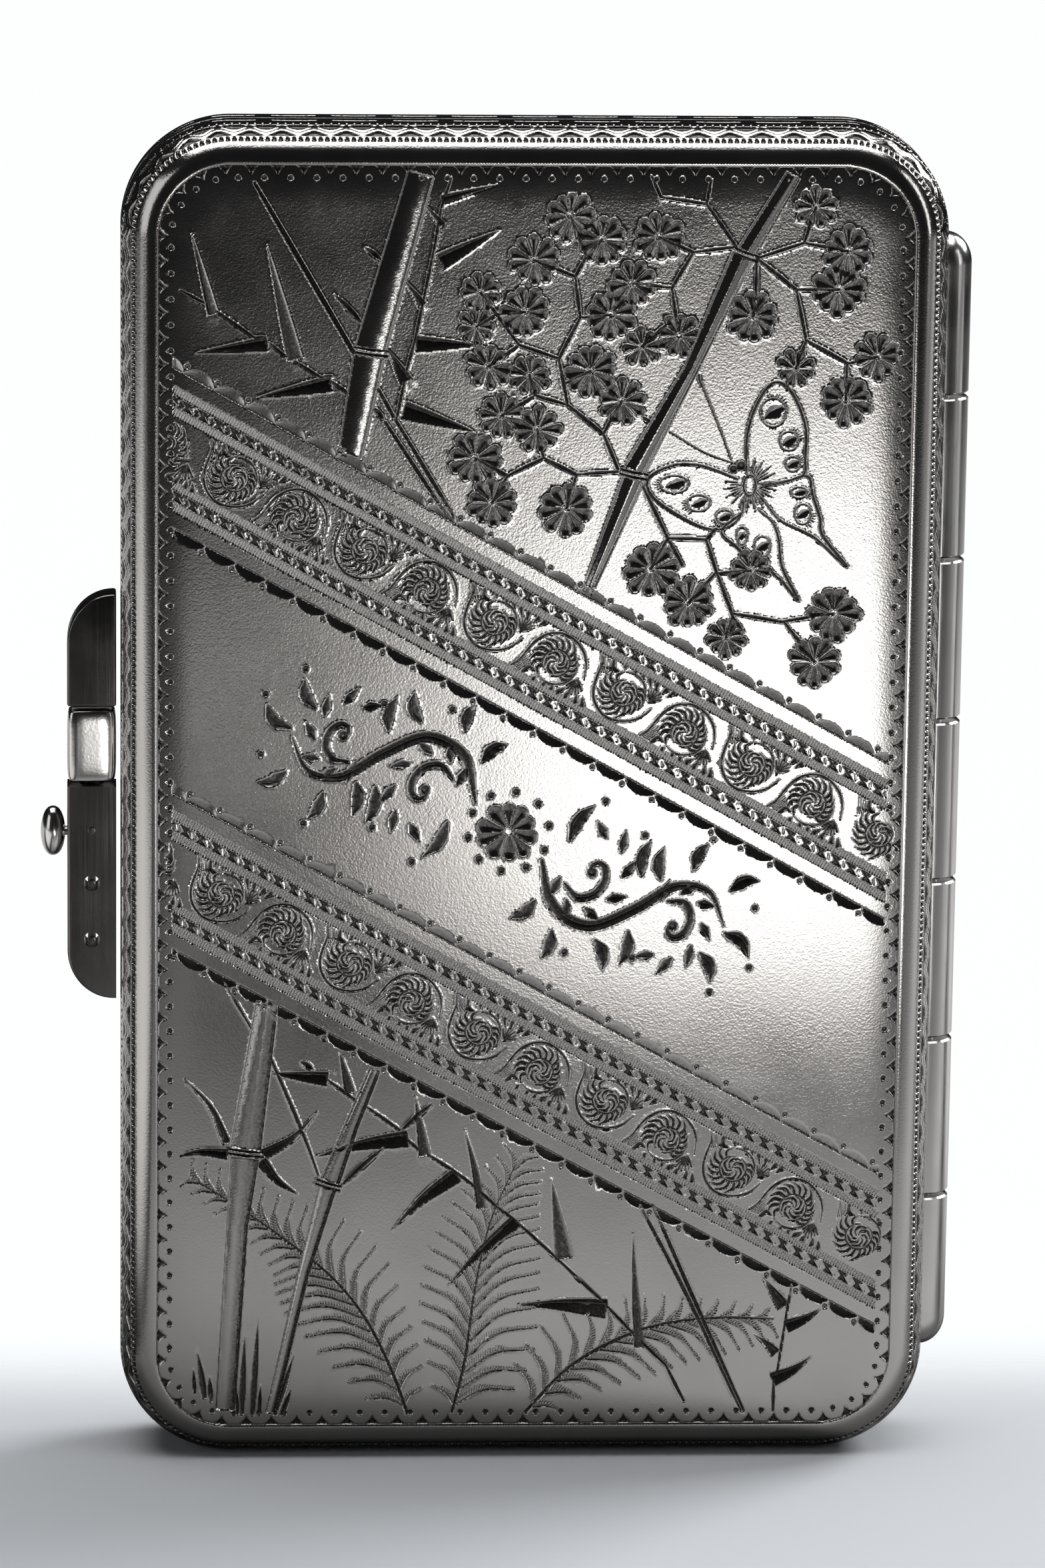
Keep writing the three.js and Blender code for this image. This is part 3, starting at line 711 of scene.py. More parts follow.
BLOSSOM_TWIGS = (
    ((2.3, 93.7), (3.5, 90.8), (4.6, 92.0)),
    ((3.5, 90.8), (2.7, 89.3), (3.1, 86.3), (1.6, 83.3), (2.3, 79.9), (4.9, 77.8), (6.0, 75.2)),
    ((-0.3, 90.5), (2.7, 89.3)), ((3.1, 86.3), (5.3, 86.5)), ((1.6, 83.3), (-1.3, 84.3), (-4.1, 88.1)),
    ((-4.4, 85.6), (-3.0, 86.5), (-0.9, 86.7)), ((-1.3, 84.3), (-3.5, 82.7)), ((2.1, 81.5), (3.9, 82.4)),
    ((2.3, 79.9), (-0.1, 80.6), (-0.5, 82.1)), ((-0.1, 80.6), (-2.5, 79.1)), ((4.9, 77.8), (6.2, 80.2)),
    ((8.7, 92.2), (11.2, 91.1), (14.3, 91.5)), ((11.2, 91.1), (9.7, 88.5), (10.2, 85.3)),
    ((9.7, 88.5), (6.9, 88.8)), ((9.8, 86.2), (7.6, 84.2)),
    ((-4.4, 76.0), (-2.0, 74.7), (-3.1, 72.7)), ((-2.0, 74.7), (0.6, 76.0), (0.1, 78.1)),
    ((0.6, 76.0), (3.0, 74.8), (6.0, 75.0)), ((3.0, 74.8), (2.3, 72.3)),
    ((8.1, 96.6), (8.8, 95.1), (12.1, 94.6), (12.4, 96.3)), ((12.1, 94.6), (14.3, 91.5)),
    ((15.8, 90.7), (15.8, 87.7), (15.6, 86.4)), ((15.9, 90.7), (19.2, 91.8), (20.0, 94.4)),
    ((19.2, 91.8), (22.4, 91.2)), ((15.9, 90.6), (18.7, 88.4), (21.8, 88.4)),
    ((18.7, 88.4), (19.5, 84.7), (18.8, 82.6)), ((19.5, 84.7), (22.6, 83.0), (24.7, 83.5)),
    ((22.5, 83.0), (22.5, 80.3)), ((7.8, 74.0), (9.7, 70.1), (10.8, 68.1)),
    ((9.7, 70.1), (12.5, 70.0), (13.2, 70.8)), ((9.7, 70.1), (8.5, 67.8)),
    ((12.5, 70.0), (13.3, 67.6), (14.6, 64.2), (15.2, 63.3)), ((13.3, 67.6), (11.3, 65.3)),
    ((13.4, 67.5), (15.8, 67.7)), ((14.6, 64.5), (18.1, 63.9), (21.9, 64.5)),
    ((18.3, 63.9), (20.6, 60.9)), ((14.5, 64.2), (14.1, 62.7)), ((7.8, 79.0), (8.4, 78.6)))


def cut_upper_panel(plate):
    """Bamboo on the left, a slender cane on the right, blossom between them and a butterfly."""
    plate.groove([(-20.4, 96.0), (-13.1, 83.5)], 0.42, 0.24, (0.7, 1, 1, 0.9), lip=0.03)
    for points in (((-6.3, 96.4), (-7.0, 94.3), (-7.5, 91.3), (-8.2, 87.7), (-8.8, 84.7), (-9.4, 82.4),
                    (-10.1, 78.8)),
                   ((-25.7, 88.2), (-24.0, 87.3)), ((-23.1, 86.7), (-20.4, 84.8), (-19.6, 84.8)),
                   ((-19.3, 84.4), (-18.1, 83.4)), ((-17.5, 83.1), (-15.6, 81.9), (-14.8, 82.0)),
                   ((-14.8, 81.6), (-13.5, 80.7))):
        twig(plate, points, 0.26)
    stalk(plate, [(-9.5, 96.7), (-13.1, 84.3)], [(-7.6, 96.2), (-10.8, 84.0)])
    stalk(plate, [(-13.3, 83.3), (-14.2, 76.6)], [(-11.0, 83.3), (-12.6, 75.8)])
    node_ring(plate, (-13.1, 84.1), (-10.8, 83.8))
    for edges in (((-10.9, 78.6), (-6.5, 71.9)), ((-10.1, 78.7), (-5.9, 71.7)),
                  ((-11.4, 81.0), (-10.3, 79.0))):
        plate.groove(edges, 0.36, 0.2, (0.8, 1, 0.9), lip=0.02)
    for leaf in (((-24.9, 92.4), (-23.7, 86.3), (-23.0, 86.7)), ((-24.6, 83.7), (-19.6, 84.9), (-19.3, 83.9)),
                 ((-19.5, 91.6), (-18.0, 83.0), (-16.9, 83.4)), ((-20.3, 80.4), (-14.8, 82.1), (-14.9, 80.9)),
                 ((-12.5, 91.4), (-11.2, 90.4)), ((-14.7, 88.0), (-12.6, 85.9)),
                 ((-8.2, 94.5), (-6.7, 93.2), (-7.1, 92.8)), ((-9.6, 89.0), (-8.0, 87.4), (-8.6, 87.0)),
                 ((-10.8, 84.0), (-9.0, 82.0), (-9.8, 81.3)), ((-11.8, 79.7), (-11.0, 78.8)),
                 ((-2.8, 96.0), (-7.0, 95.2), (-6.9, 94.5)), ((-2.8, 92.7), (-7.4, 90.9), (-6.6, 89.9)),
                 ((-4.1, 84.3), (-8.7, 85.0), (-8.7, 83.8)), ((-4.5, 78.0), (-9.7, 80.2), (-9.4, 78.9))):
        blade(plate, *leaf)
    for points in BLOSSOM_TWIGS:
        twig(plate, points)
    for x, z, radius in FLOWERS:
        flower(plate, x, z, radius)
    stalk(plate, [(17.7, 96.8), (14.4, 91.5)], [(18.8, 96.4), (15.8, 91.0)], CANE_SECTION)
    stalk(plate, [(13.9, 91.0), (10.6, 82.6), (6.4, 75.4)], [(15.5, 90.4), (11.7, 82.5), (8.1, 75.1)],
          CANE_SECTION)
    stalk(plate, [(6.3, 74.7), (3.6, 66.5)], [(7.8, 73.9), (4.3, 66.0)], CANE_SECTION)
    node_ring(plate, (14.3, 91.4), (15.9, 90.8))
    node_ring(plate, (6.3, 75.2), (8.1, 74.8))
    cut_butterfly(plate)


def cut_lower_panel(plate):
    """Two bamboos, a leafy twig, three ferns and grass."""
    fern(plate, [(-8.7, 3.6), (-9.8, 6.7), (-11.7, 10.7), (-14.2, 14.0), (-17.6, 16.9), (-21.0, 19.4),
                 (-24.3, 21.6)], (2.6, 4.4, 5.6, 5.9, 5.0, 3.2, 2.4, 2.2, 1.8, 1.5),
         (1.6, 3.0, 3.4, 4.6, 4.8, 4.4, 3.3, 2.9, 2.4, 1.8))
    fern(plate, [(-5.3, 3.6), (-4.4, 7.6), (-3.7, 13.2), (-2.6, 18.4), (-0.9, 22.6)],
         (1.8, 3.6, 4.6, 4.9, 4.8, 4.4, 3.6, 2.6, 2.0), (4.4, 5.6, 6.0, 5.9, 5.6, 5.0, 4.2, 3.3, 2.4))
    fern(plate, [(0.2, 3.6), (3.2, 6.9), (6.6, 9.1), (10.2, 10.4), (14.4, 10.9), (18.6, 10.8)],
         (3.4, 4.4, 4.2, 3.4, 2.6, 2.0, 1.5, 1.2), (2.0, 3.4, 4.6, 4.9, 4.6, 4.0, 3.0, 1.8), gap=1.35)
    for tip, foot, wide in (((-24.3, 8.4), (-23.8, 4.9), 0.6), ((-24.6, 7.1), (-24.5, 5.2), 0.3),
                            ((-23.4, 6.5), (-23.3, 4.6), 0.45), ((-20.8, 9.6), (-21.0, 3.6), 0.55),
                            ((-19.8, 11.0), (-20.2, 3.5), 0.55), ((-21.4, 5.6), (-21.3, 3.6), 0.3),
                            ((-19.6, 5.8), (-19.7, 3.5), 0.3), ((-17.1, 8.2), (-18.5, 3.5), 0.5),
                            ((-17.3, 5.5), (-18.0, 3.5), 0.45)):
        plate.groove([tip, foot], wide, 0.2, (0, 0.5, 0.9, 1, 0.7), bias=0.3, lip=0.015)
    plate.groove([(-22.7, 37.3), (-20.4, 33.3)], 0.22, 0.14, (0.6, 1, 0.6), lip=0.04)
    plate.groove([(-19.0, 31.1), (-17.4, 27.3), (-16.2, 24.3), (-15.4, 22.0)], 0.3, 0.17, (0.7, 1, 0.5),
                 lip=0.03)
    # these stalks take strong painted shade on their right
    stalk(plate, [(-20.0, 35.4), (-21.9, 24.3)], [(-18.5, 34.7), (-19.6, 24.3)],
          ROUND_SECTION, 0.6)
    stalk(plate, [(-21.9, 23.2), (-22.2, 18.0), (-22.9, 4.3)], [(-19.8, 23.2), (-20.6, 18.0), (-21.5, 4.0)],
          ROUND_SECTION, 0.6)
    stalk(plate, [(-11.7, 30.2), (-13.5, 25.9), (-15.2, 21.9)], [(-10.9, 29.9), (-12.5, 25.6), (-13.8, 21.4)],
          ROUND_SECTION, 0.6)
    stalk(plate, [(-15.4, 21.0), (-16.9, 14.5), (-19.1, 4.0)], [(-14.1, 20.8), (-16.1, 14.2), (-18.5, 3.6)],
          ROUND_SECTION, 0.6)
    node_ring(plate, (-22.0, 24.1), (-19.5, 23.8))
    node_ring(plate, (-15.4, 21.7), (-13.8, 21.2))
    for leaf, bend in ((((-25.6, 29.7), (-22.5, 24.7), (-21.9, 24.4)), 0.08),
                       (((-25.8, 23.6), (-22.1, 24.1), (-22.1, 23.3)), 0.06),
                       (((-15.5, 26.9), (-19.7, 24.0), (-19.2, 23.3)), 0.08),
                       (((-16.9, 20.6), (-19.6, 23.6), (-19.6, 22.7)), 0.08),
                       (((-19.0, 29.9), (-14.7, 30.0), (-14.8, 28.9)), 0),
                       (((-16.8, 30.8), (-15.8, 30.1)), 0),
                       (((-13.9, 31.6), (-13.5, 28.4), (-12.7, 28.3)), 0),
                       (((-15.6, 23.5), (-8.9, 25.5), (-8.7, 24.2)), 0.03),
                       (((-8.3, 28.1), (-8.0, 23.4), (-7.1, 23.7)), 0),
                       (((-13.9, 21.1), (-10.5, 24.2)), 0), (((-9.4, 25.4), (-6.9, 27.6)), 0),
                       (((-9.9, 17.8), (-5.4, 22.6), (-4.9, 21.5)), 0.04),
                       (((-4.6, 25.5), (-3.7, 19.4), (-2.9, 19.5)), 0.02),
                       (((-5.7, 13.5), (-1.1, 18.9), (-0.4, 18.0)), 0.02),
                       (((1.9, 21.6), (2.2, 15.4), (3.6, 15.7)), 0),
                       (((-0.5, 12.0), (6.2, 12.4), (6.0, 10.9)), 0.02),
                       (((8.0, 17.5), (8.2, 8.5), (9.1, 8.7)), -0.01),
                       (((17.6, 14.2), (18.9, 11.4), (19.7, 12.1)), 0),
                       (((22.3, 11.7), (19.4, 10.7), (19.7, 9.7)), 0.05),
                       (((17.2, 9.5), (18.9, 8.5), (18.7, 7.7)), 0.05),
                       (((21.6, 7.9), (18.3, 6.5), (18.9, 5.6)), 0.05)):
        blade(plate, *leaf, bend=bend)
    for points in (((-14.7, 29.3), (-12.7, 27.8)), ((-11.9, 27.3), (-9.4, 25.5)),
                   ((-8.9, 24.8), (-8.0, 24.0)),
                   ((-7.3, 23.6), (-5.3, 22.3), (-3.9, 21.2), (-2.2, 19.6), (-0.9, 18.6), (2.1, 15.8),
                    (2.5, 15.4), (5.8, 12.2), (8.3, 9.5), (10.6, 7.2), (12.0, 4.4)),
                   ((19.9, 13.4), (19.5, 10.7), (19.0, 6.9), (18.7, 5.8), (18.7, 3.6))):
        twig(plate, points, 0.26)
    plate.groove([(8.5, 19.6), (12.2, 12.4), (16.3, 3.6)], 0.34, 0.18, (0.8, 1, 0.6), lip=0.03)
    plate.groove([(9.4, 19.7), (12.5, 12.6), (16.5, 3.6)], 0.34, 0.2, (0.8, 1, 0.6), lip=0.03)


def cut_centre_ornament(plate):
    """A plain leafy flourish along the middle panel: a blossom between two scrolling sprays."""
    spray = Band(-1.6, 48.2, 27.9)

    def stroke(points, width, depth=0.17, shape=(0.1, 1, 0.15), **more):
        plate.groove([spray.place(u, 1.3 * v) for u, v in points], width, depth, shape, **more)

    flower(plate, *spray.place(0, 0), 2.3)
    for k in range(10):
        a = math.radians(36 * k)
        plate.punch(*spray.place(3.0 * math.cos(a), 3.0 * math.sin(a)), 0.26)
    for way in (-1, 1):
        def at(u, v):
            return (way * u, way * v)

        stroke([at(3.2, -0.6), at(5.5, -2.6), at(8.6, -2.7), at(11.0, -0.6), at(12.8, 1.6),
                at(15.2, 2.2), at(17.4, 0.9)], 0.8, 0.26, (0.3, 1, 1, 1, 0.9, 0.6, 0.1), lip=0.02)
        for u, v, turn, size in ((6.9, 0.1, 1, 1.9), (14.1, -0.5, -1, 1.7)):
            coil = [at(u + size * (1 - 0.13 * k) * math.cos(turn * (2.4 - 0.75 * k)),
                       v + size * (1 - 0.13 * k) * math.sin(turn * (-2.4 + 0.75 * k))) for k in range(8)]
            stroke(coil, 0.6, 0.22, (0.3, 1, 1, 0.9, 0.5), lip=0.02)
            for k in range(7):
                a = turn * (-2.6 + 0.72 * k)
                stroke([at(u + (size + 0.3) * math.cos(a), v + (size + 0.3) * math.sin(a)),
                        at(u + (size + 1.25) * math.cos(a + 0.35 * turn),
                           v + (size + 1.25) * math.sin(a + 0.35 * turn))],
                       0.72, 0.22, (0.3, 1, 0.6, 0), bias=0.3, lip=0.02)
            plate.punch(*spray.place(way * u, 1.3 * way * v), 0.36)
        for u, v, du, dv in ((4.2, -2.9, -1.0, -1.5), (6.4, -4.0, 0.3, -1.6), (9.6, -3.3, 1.5, -1.3),
                             (11.6, 1.6, -0.9, 1.7), (13.4, 3.0, 0.1, 1.7), (16.6, 2.9, 1.5, 1.2),
                             (17.8, 0.5, 2.4, -0.6), (4.3, 1.2, 0.4, 2.4), (10.2, 1.3, -0.6, 2.0),
                             (11.4, -2.0, 0.6, -1.9), (16.9, -1.2, 1.7, -1.2)):
            stroke([at(u, v), at(u + 0.5 * du - 0.15 * dv, v + 0.5 * dv + 0.15 * du), at(u + du, v + dv)],
                   0.95, 0.26, (0.3, 1, 0.8, 0), bias=0.35, lip=0.02)
        for u, v in ((3.5, -4.0), (8.0, -4.7), (12.6, -3.2), (9.0, 3.4), (13.6, 5.0), (18.8, 2.6),
                     (20.6, -0.6), (18.9, -2.9), (5.2, 4.1)):
            plate.punch(*spray.place(way * u, 1.3 * way * v), 0.24)


UPPER_BAND = Band(-12.6, 69.1, 29.2)
LOWER_BAND = Band(0.9, 30.2, 29.0)


def clear_under(plate, band):
    """Smooths away whatever was cut where the band will lie."""
    across = band.measure(FLAT_X, FLAT_Z)[1]
    under = (np.abs(across) < BAND_HALF - 0.05) & (DISTANCE < 0)
    plate.height[under] = 0
    plate.patina_and_shade[under] = 0


def engrave_front():
    plate = Plate()
    cut_upper_panel(plate)
    cut_lower_panel(plate)
    cut_centre_ornament(plate)
    for band, first, flip in ((UPPER_BAND, -5.3, -1), (LOWER_BAND, 0.0, -1)):
        clear_under(plate, band)
        cut_band(plate, band, first, flip)
    cut_frame_border(plate)
    cut_edge_slashes(plate)
    return plate


def engrave_back():
    """The plainer back: the same borders, one band, blossom above it and fern below."""
    plate = Plate()
    for points in (((-24.5, 72.0), (-19.0, 75.5), (-13.5, 75.0), (-8.0, 79.0), (-1.0, 79.5), (5.0, 84.0),
                    (11.0, 85.0)),
                   ((-19.0, 75.5), (-17.5, 81.0), (-13.0, 84.5)), ((-8.0, 79.0), (-6.5, 85.0), (-1.5, 89.5)),
                   ((-1.0, 79.5), (3.0, 75.5)), ((5.0, 84.0), (9.0, 79.5), (14.5, 78.5)),
                   ((-13.5, 75.0), (-9.5, 71.0)), ((-17.5, 81.0), (-21.5, 84.5)), ((9.0, 79.5), (9.0, 74.5))):
        twig(plate, points)
    for x, z, radius in ((11.5, 85.5, 2.1), (-12.8, 85.0, 2.0), (-1.2, 90.0, 2.1), (3.4, 75.0, 1.8),
                         (15.0, 78.4, 1.9), (-9.2, 70.6, 1.7), (-21.8, 85.0, 1.8), (9.0, 74.0, 1.6),
                         (-6.8, 84.4, 1.5), (-24.0, 72.0, 1.7)):
        flower(plate, x, z, radius)
    fern(plate, [(-20.0, 4.5), (-14.5, 9.5), (-7.0, 14.0), (1.0, 16.5), (9.0, 17.5)],
         (2.6, 4.4, 5.6, 5.6, 5.0, 4.0, 3.0, 2.0), (2.2, 3.6, 4.6, 5.0, 4.6, 3.8, 2.8, 1.8))
    fern(plate, [(-22.5, 5.0), (-21.5, 12.0), (-18.5, 19.5), (-14.0, 26.0), (-9.0, 31.0)],
         (1.6, 2.6, 3.2, 3.4, 3.2, 2.6, 1.8), (2.2, 3.6, 4.6, 4.8, 4.2, 3.2, 2.0))
    fern(plate, [(-14.0, 4.0), (-5.0, 6.5), (4.0, 7.6), (13.0, 7.0), (20.0, 5.5)],
         (1.8, 3.0, 3.8, 3.8, 3.2, 2.4, 1.6), (1.2, 1.8, 2.2, 2.2, 1.8, 1.4))
    band = Band(0, 47.5, -27.0)
    clear_under(plate, band)
    cut_band(plate, band, 0.0, 1)
    cut_frame_border(plate)
    cut_edge_slashes(plate)
    return plate


# ---------------------------------------------------------------- from height map to mesh
def wrap(height, side):
    """Surface points and normals, in millimetres, of a height map laid over one face."""
    key = np.minimum(DISTANCE, RIM)
    outside = np.maximum(DISTANCE, 0)
    offset = np.where(key > 0, np.interp(key, KEY, OFFSET), 0)
    pillow = np.clip(1 + DISTANCE / PILLOW_REACH, 0, 1)
    depth = np.interp(key, KEY, DEPTH) + PILLOW_RISE * (1 - pillow ** 2)
    tilt = np.interp(key, KEY, TILT)
    x = FLAT_X - AWAY_X * (outside - offset)
    z = FLAT_Z - AWAY_Z * (outside - offset)
    base = np.stack([x, side * depth, z], -1)
    out = np.stack([AWAY_X * np.sin(tilt), side * np.cos(tilt), AWAY_Z * np.sin(tilt)], -1)
    return base + out * height[..., None], out


def surface_error(points, normals):
    """Right-triangulated-network errors: how far each grid point stands off the edge it splits,
    counting everything that hangs below it in the hierarchy."""
    size = GRID
    error = np.zeros((size + 1, size + 1), np.float32)

    def stand_off(i, j, di, dj):
        """Distance of points (i, j) from the middle of the edge between (i±di, j±dj)."""
        a = points[i - di, j - dj]
        b = points[i + di, j + dj]
        m = points[i, j]
        return np.abs((((a + b) / 2 - m) * normals[i, j]).sum(-1))

    step = 1
    while step < size:
        even = np.arange(0, size + 1, 2 * step)
        odd = np.arange(step, size + 1, 2 * step)
        reach = step // 2
        for i, j, di, dj in ((even, odd, 0, step), (odd, even, step, 0)):
            gi, gj = np.meshgrid(i, j, indexing="ij")
            own = stand_off(gi, gj, di, dj)
            if step >= 2:
                for si in (-reach, reach):
                    for sj in (-reach, reach):
                        ni, nj = gi + si, gj + sj
                        ok = (ni >= 0) & (ni <= size) & (nj >= 0) & (nj <= size)
                        child = error[np.clip(ni, 0, size), np.clip(nj, 0, size)]
                        own = np.maximum(own, np.where(ok, child, 0))
            error[gi, gj] = np.maximum(error[gi, gj], own)
        gi, gj = np.meshgrid(odd, odd, indexing="ij")
        main = ((gi - step) // (2 * step) + (gj - step) // (2 * step)) % 2 == 0
        own = np.where(main, stand_off(gi, gj, step, step), stand_off(gi, gj, step, -step))
        for si, sj in ((-step, 0), (step, 0), (0, -step), (0, step)):
            own = np.maximum(own, error[gi + si, gj + sj])
        error[gi, gj] = np.maximum(error[gi, gj], own)
        step *= 2
    return error


def triangles_within(error, limit):
    """Triangles (as grid indices) of the coarsest network whose error stays within the limit."""
    size = GRID
    live = np.array([[[0, 0], [size, size], [size, 0]], [[size, size], [0, 0], [0, size]]])
    done = []
    while len(live):
        a, b, c = live[:, 0], live[:, 1], live[:, 2]
        middle = (a + b) // 2
        whole = np.abs(a - b).max(1) > 1
        split = whole & (error[middle[:, 0], middle[:, 1]] > limit)
        done.append(live[~split])
        a, b, c, middle = a[split], b[split], c[split], middle[split]
        live = np.concatenate([np.stack([c, a, middle], 1), np.stack([b, c, middle], 1)])
    return np.concatenate(done)


def add_object(name, data):
    """A new object in the scene that shows the data."""
    item = bpy.data.objects.new(name, data)
    bpy.context.collection.objects.link(item)
    return item


def silver_mesh(name, triangles, points, normals, tarnish, slot, body):
    """One mesh object from a share of the grid's triangles, shaded with the full grid's normals."""
    flat = triangles[..., 0] * (GRID + 1) + triangles[..., 1]
    used, faces = np.unique(flat, return_inverse=True)
    faces = faces.reshape(-1, 3)
    co = points.reshape(-1, 3)[used] * MM
    co[:, 0] += CENTRE_X
    mesh = bpy.data.meshes.new(name)
    mesh.vertices.add(len(co))
    mesh.vertices.foreach_set("co", co.astype(np.float32).ravel())
    mesh.loops.add(faces.size)
    mesh.loops.foreach_set("vertex_index", faces.astype(np.int32).ravel())
    mesh.polygons.add(len(faces))
    mesh.polygons.foreach_set("loop_start", np.arange(0, faces.size, 3, dtype=np.int32))
    mesh.update(calc_edges=True)
    mesh.validate()
    mesh.shade_smooth()
    mesh.normals_split_custom_set_from_vertices(normals.reshape(-1, 3)[used])
    # each point's darkness for the material: patina and painted shade
    layer = mesh.attributes.new("tarnish", "FLOAT", "POINT")
    layer.data.foreach_set("value", tarnish.ravel()[used].astype(np.float32))
    piece = add_object(name, mesh)
    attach(piece, body)
    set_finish(piece, slot)
    return piece


# ---------------------------------------------------------------- the hinge barrel and its clearance
KNUCKLE_NAMES = sorted(name for name in frame["nodes"] if name.startswith("hinge_knuckle"))
BARREL = {name: node_box(name) for name in KNUCKLE_NAMES}
BARREL_X = HALF_WIDTH
BARREL_RADIUS = max(high.x for low, high in BARREL.values()) - BARREL_X
BARREL_LOW = min(low.z for low, high in BARREL.values())
BARREL_HIGH = max(high.z for low, high in BARREL.values())
BARREL_DOME = 2.3          # height of the two domed ends
BARREL_SIDES = 96
END_RING = 1.0             # a flat end's inner ring of points lies this far inside the radius
CLEARANCE = 0.1            # gap between the barrel and the two halves
INSIDE_WALL = 0.7          # thickness of the side wall
INSIDE_FLOOR = 0.62        # thickness of the face
INSIDE_CORNER = 2.6        # radius between the inner wall and floor
BLOCK_BEVEL = 0.24         # rounding of the catch blocks' edges


def barrel_radius(z):
    """Radius of the hinge barrel at a height, with its two domed ends."""
    low = np.clip((BARREL_LOW + BARREL_DOME - z) / BARREL_DOME, 0, 1)
    high = np.clip((z - BARREL_HIGH + BARREL_DOME) / BARREL_DOME, 0, 1)
    return BARREL_RADIUS * np.sqrt(np.clip(1 - np.maximum(low, high) ** 2, 0, 1))


def clear_of_barrel(points):
    """Moves points that lie inside the hinge's clearance straight out of it."""
    dx, dy = points[..., 0] - BARREL_X, points[..., 1]
    away = np.hypot(dx, dy)
    reach = barrel_radius(points[..., 2])
    reach = np.where(reach > 0, reach + CLEARANCE, 0)
    scale = np.where(away < reach, reach / np.maximum(away, 1e-6), 1)
    points[..., 0] = BARREL_X + dx * scale
    points[..., 1] = dy * scale
    return points


# ---------------------------------------------------------------- building the pieces
def blurred(values, reach):
    """Box blur over a square of 2*reach+1 samples."""
    out = values
    for axis in (0, 1):
        pad = [(reach + 1, reach) if k == axis else (0, 0) for k in (0, 1)]
        run = np.cumsum(np.pad(out, pad, mode="edge"), axis=axis, dtype=np.float64)
        size = values.shape[axis]
        after = np.take(run, np.arange(2 * reach + 1, size + 2 * reach + 1), axis=axis)
        out = (after - np.take(run, np.arange(size), axis=axis)) / (2 * reach + 1)
    return out


MOST_FACES = 150000        # a piece's share of the mesh, under the 200,000 faces where an STL is thinned
MESH_ERROR = 0.008
CAVITY_SHADE_REACH = 0.3        # recesses narrower than about this get painted shade


def build_face(plate, side, body, node, slot):
    """The outer skin of one half: meshed from its height map and shared out in separate pieces."""
    height = plate.height
    points, out = wrap(height, side)
    points = clear_of_barrel(points)
    along_x = np.gradient(points, axis=1)
    along_z = np.gradient(points, axis=0)
    normals = np.cross(along_x, along_z) * -side
    size = np.linalg.norm(normals, axis=-1, keepdims=True)
    flat = size[..., 0] < 1e-9
    normals = np.where(flat[..., None], out, normals / np.maximum(size, 1e-12))
    # painted shade in narrow recesses: how far a point sits below its blurred surroundings, on top of the
    # patina and painted shade of the cuts
    reach = max(1, round(CAVITY_SHADE_REACH / STEP))
    sunk = blurred(height, reach) - height
    tarnish = np.clip(plate.patina_and_shade + np.clip(sunk / 0.1, 0, 1) * 0.25, 0, 1)
    error = surface_error(points, normals)
    triangles = triangles_within(error, MESH_ERROR)
    d = DISTANCE[triangles[..., 0], triangles[..., 1]]
    triangles = triangles[~(d >= RIM - 1e-6).all(1)]
    if side > 0:
        triangles = triangles[:, ::-1]
    middle = triangles.mean(1)
    x = np.interp(middle[:, 1], [0, GRID], [-SPAN, SPAN])
    z = np.interp(middle[:, 0], [0, GRID], [MIDDLE - SPAN, MIDDLE + SPAN])
    distance = line_distance(x, z)[0]
    upper = UPPER_BAND.measure(x, z)[1]
    lower = LOWER_BAND.measure(x, z)[1]
    part = np.where(distance > 0, 0, np.where(upper > BAND_HALF, 1, np.where(
        upper > -BAND_HALF, 2, np.where(lower > BAND_HALF, 3, np.where(lower > -BAND_HALF, 4, 5)))))
    names = ("rim", "upper_panel", "upper_band", "middle_panel", "lower_band", "lower_panel")
    for k, name in enumerate(names):
        share = triangles[part == k]
        share = share[np.argsort(z[part == k], kind="stable")]
        for n, some in enumerate(np.array_split(share, 1 + len(share) // MOST_FACES)):
            if len(some):
                label = f"{body}_{name}_{n + 1}"
                silver_mesh(label, some, points, normals, tarnish, slot, body)
    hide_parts(node)


def ring(offset, count=28):
    """Plan outline at an offset from the border line, as points with their outward directions."""
    radius = max(LINE_RADIUS + offset, 0.05)
    shift = LINE_RADIUS + offset - radius
    out = []
    for quarter in range(4):
        for k in range(count + 1):
            a = math.pi / 2 * (quarter + k / count)
            cx = math.copysign(STRAIGHT_X + shift, math.cos(a + 1e-9 if k == 0 else a - 1e-9))
            cz = math.copysign(STRAIGHT_Z + shift, math.sin(a + 1e-9 if k == 0 else a - 1e-9))
            out.append((cx + radius * math.cos(a), MIDDLE + cz + radius * math.sin(a)))
    sides = []
    for p, q in zip(out, out[1:] + out[:1]):
        sides.append(p)
        gap = math.dist(p, q)
        if gap > 8:
            steps = 160
            sides += [(p[0] + (q[0] - p[0]) * t / steps, p[1] + (q[1] - p[1]) * t / steps)
                      for t in range(1, steps)]
    return sides


def new_piece(name, bm, body, slot, angle=35):
    """Finishes a bmesh whose coordinates are millimetres from the middle of the base."""
    bmesh.ops.recalc_face_normals(bm, faces=bm.faces)
    mesh = bpy.data.meshes.new(name)
    for vert in bm.verts:
        vert.co = Vector((vert.co.x * MM + CENTRE_X, vert.co.y * MM, vert.co.z * MM))
    bm.to_mesh(mesh)
    bm.free()
    mesh.shade_smooth()
    mesh.set_sharp_from_angle(angle=math.radians(angle))
    piece = add_object(name, mesh)
    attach(piece, body)
    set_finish(piece, slot)
    return piece


def loft(bm, rows):
    """Quads between successive rings of points; returns the rings of vertices."""
    rings = [[bm.verts.new(p) for p in row] for row in rows]
    count = len(rings[0])
    for a, b in zip(rings[:-1], rings[1:]):
        for k in range(count):
            n = (k + 1) % count
            quad = [a[k], a[n], b[n], b[k]]
            if len({tuple(v.co) for v in quad}) > 2:
                bm.faces.new(quad)
    return rings


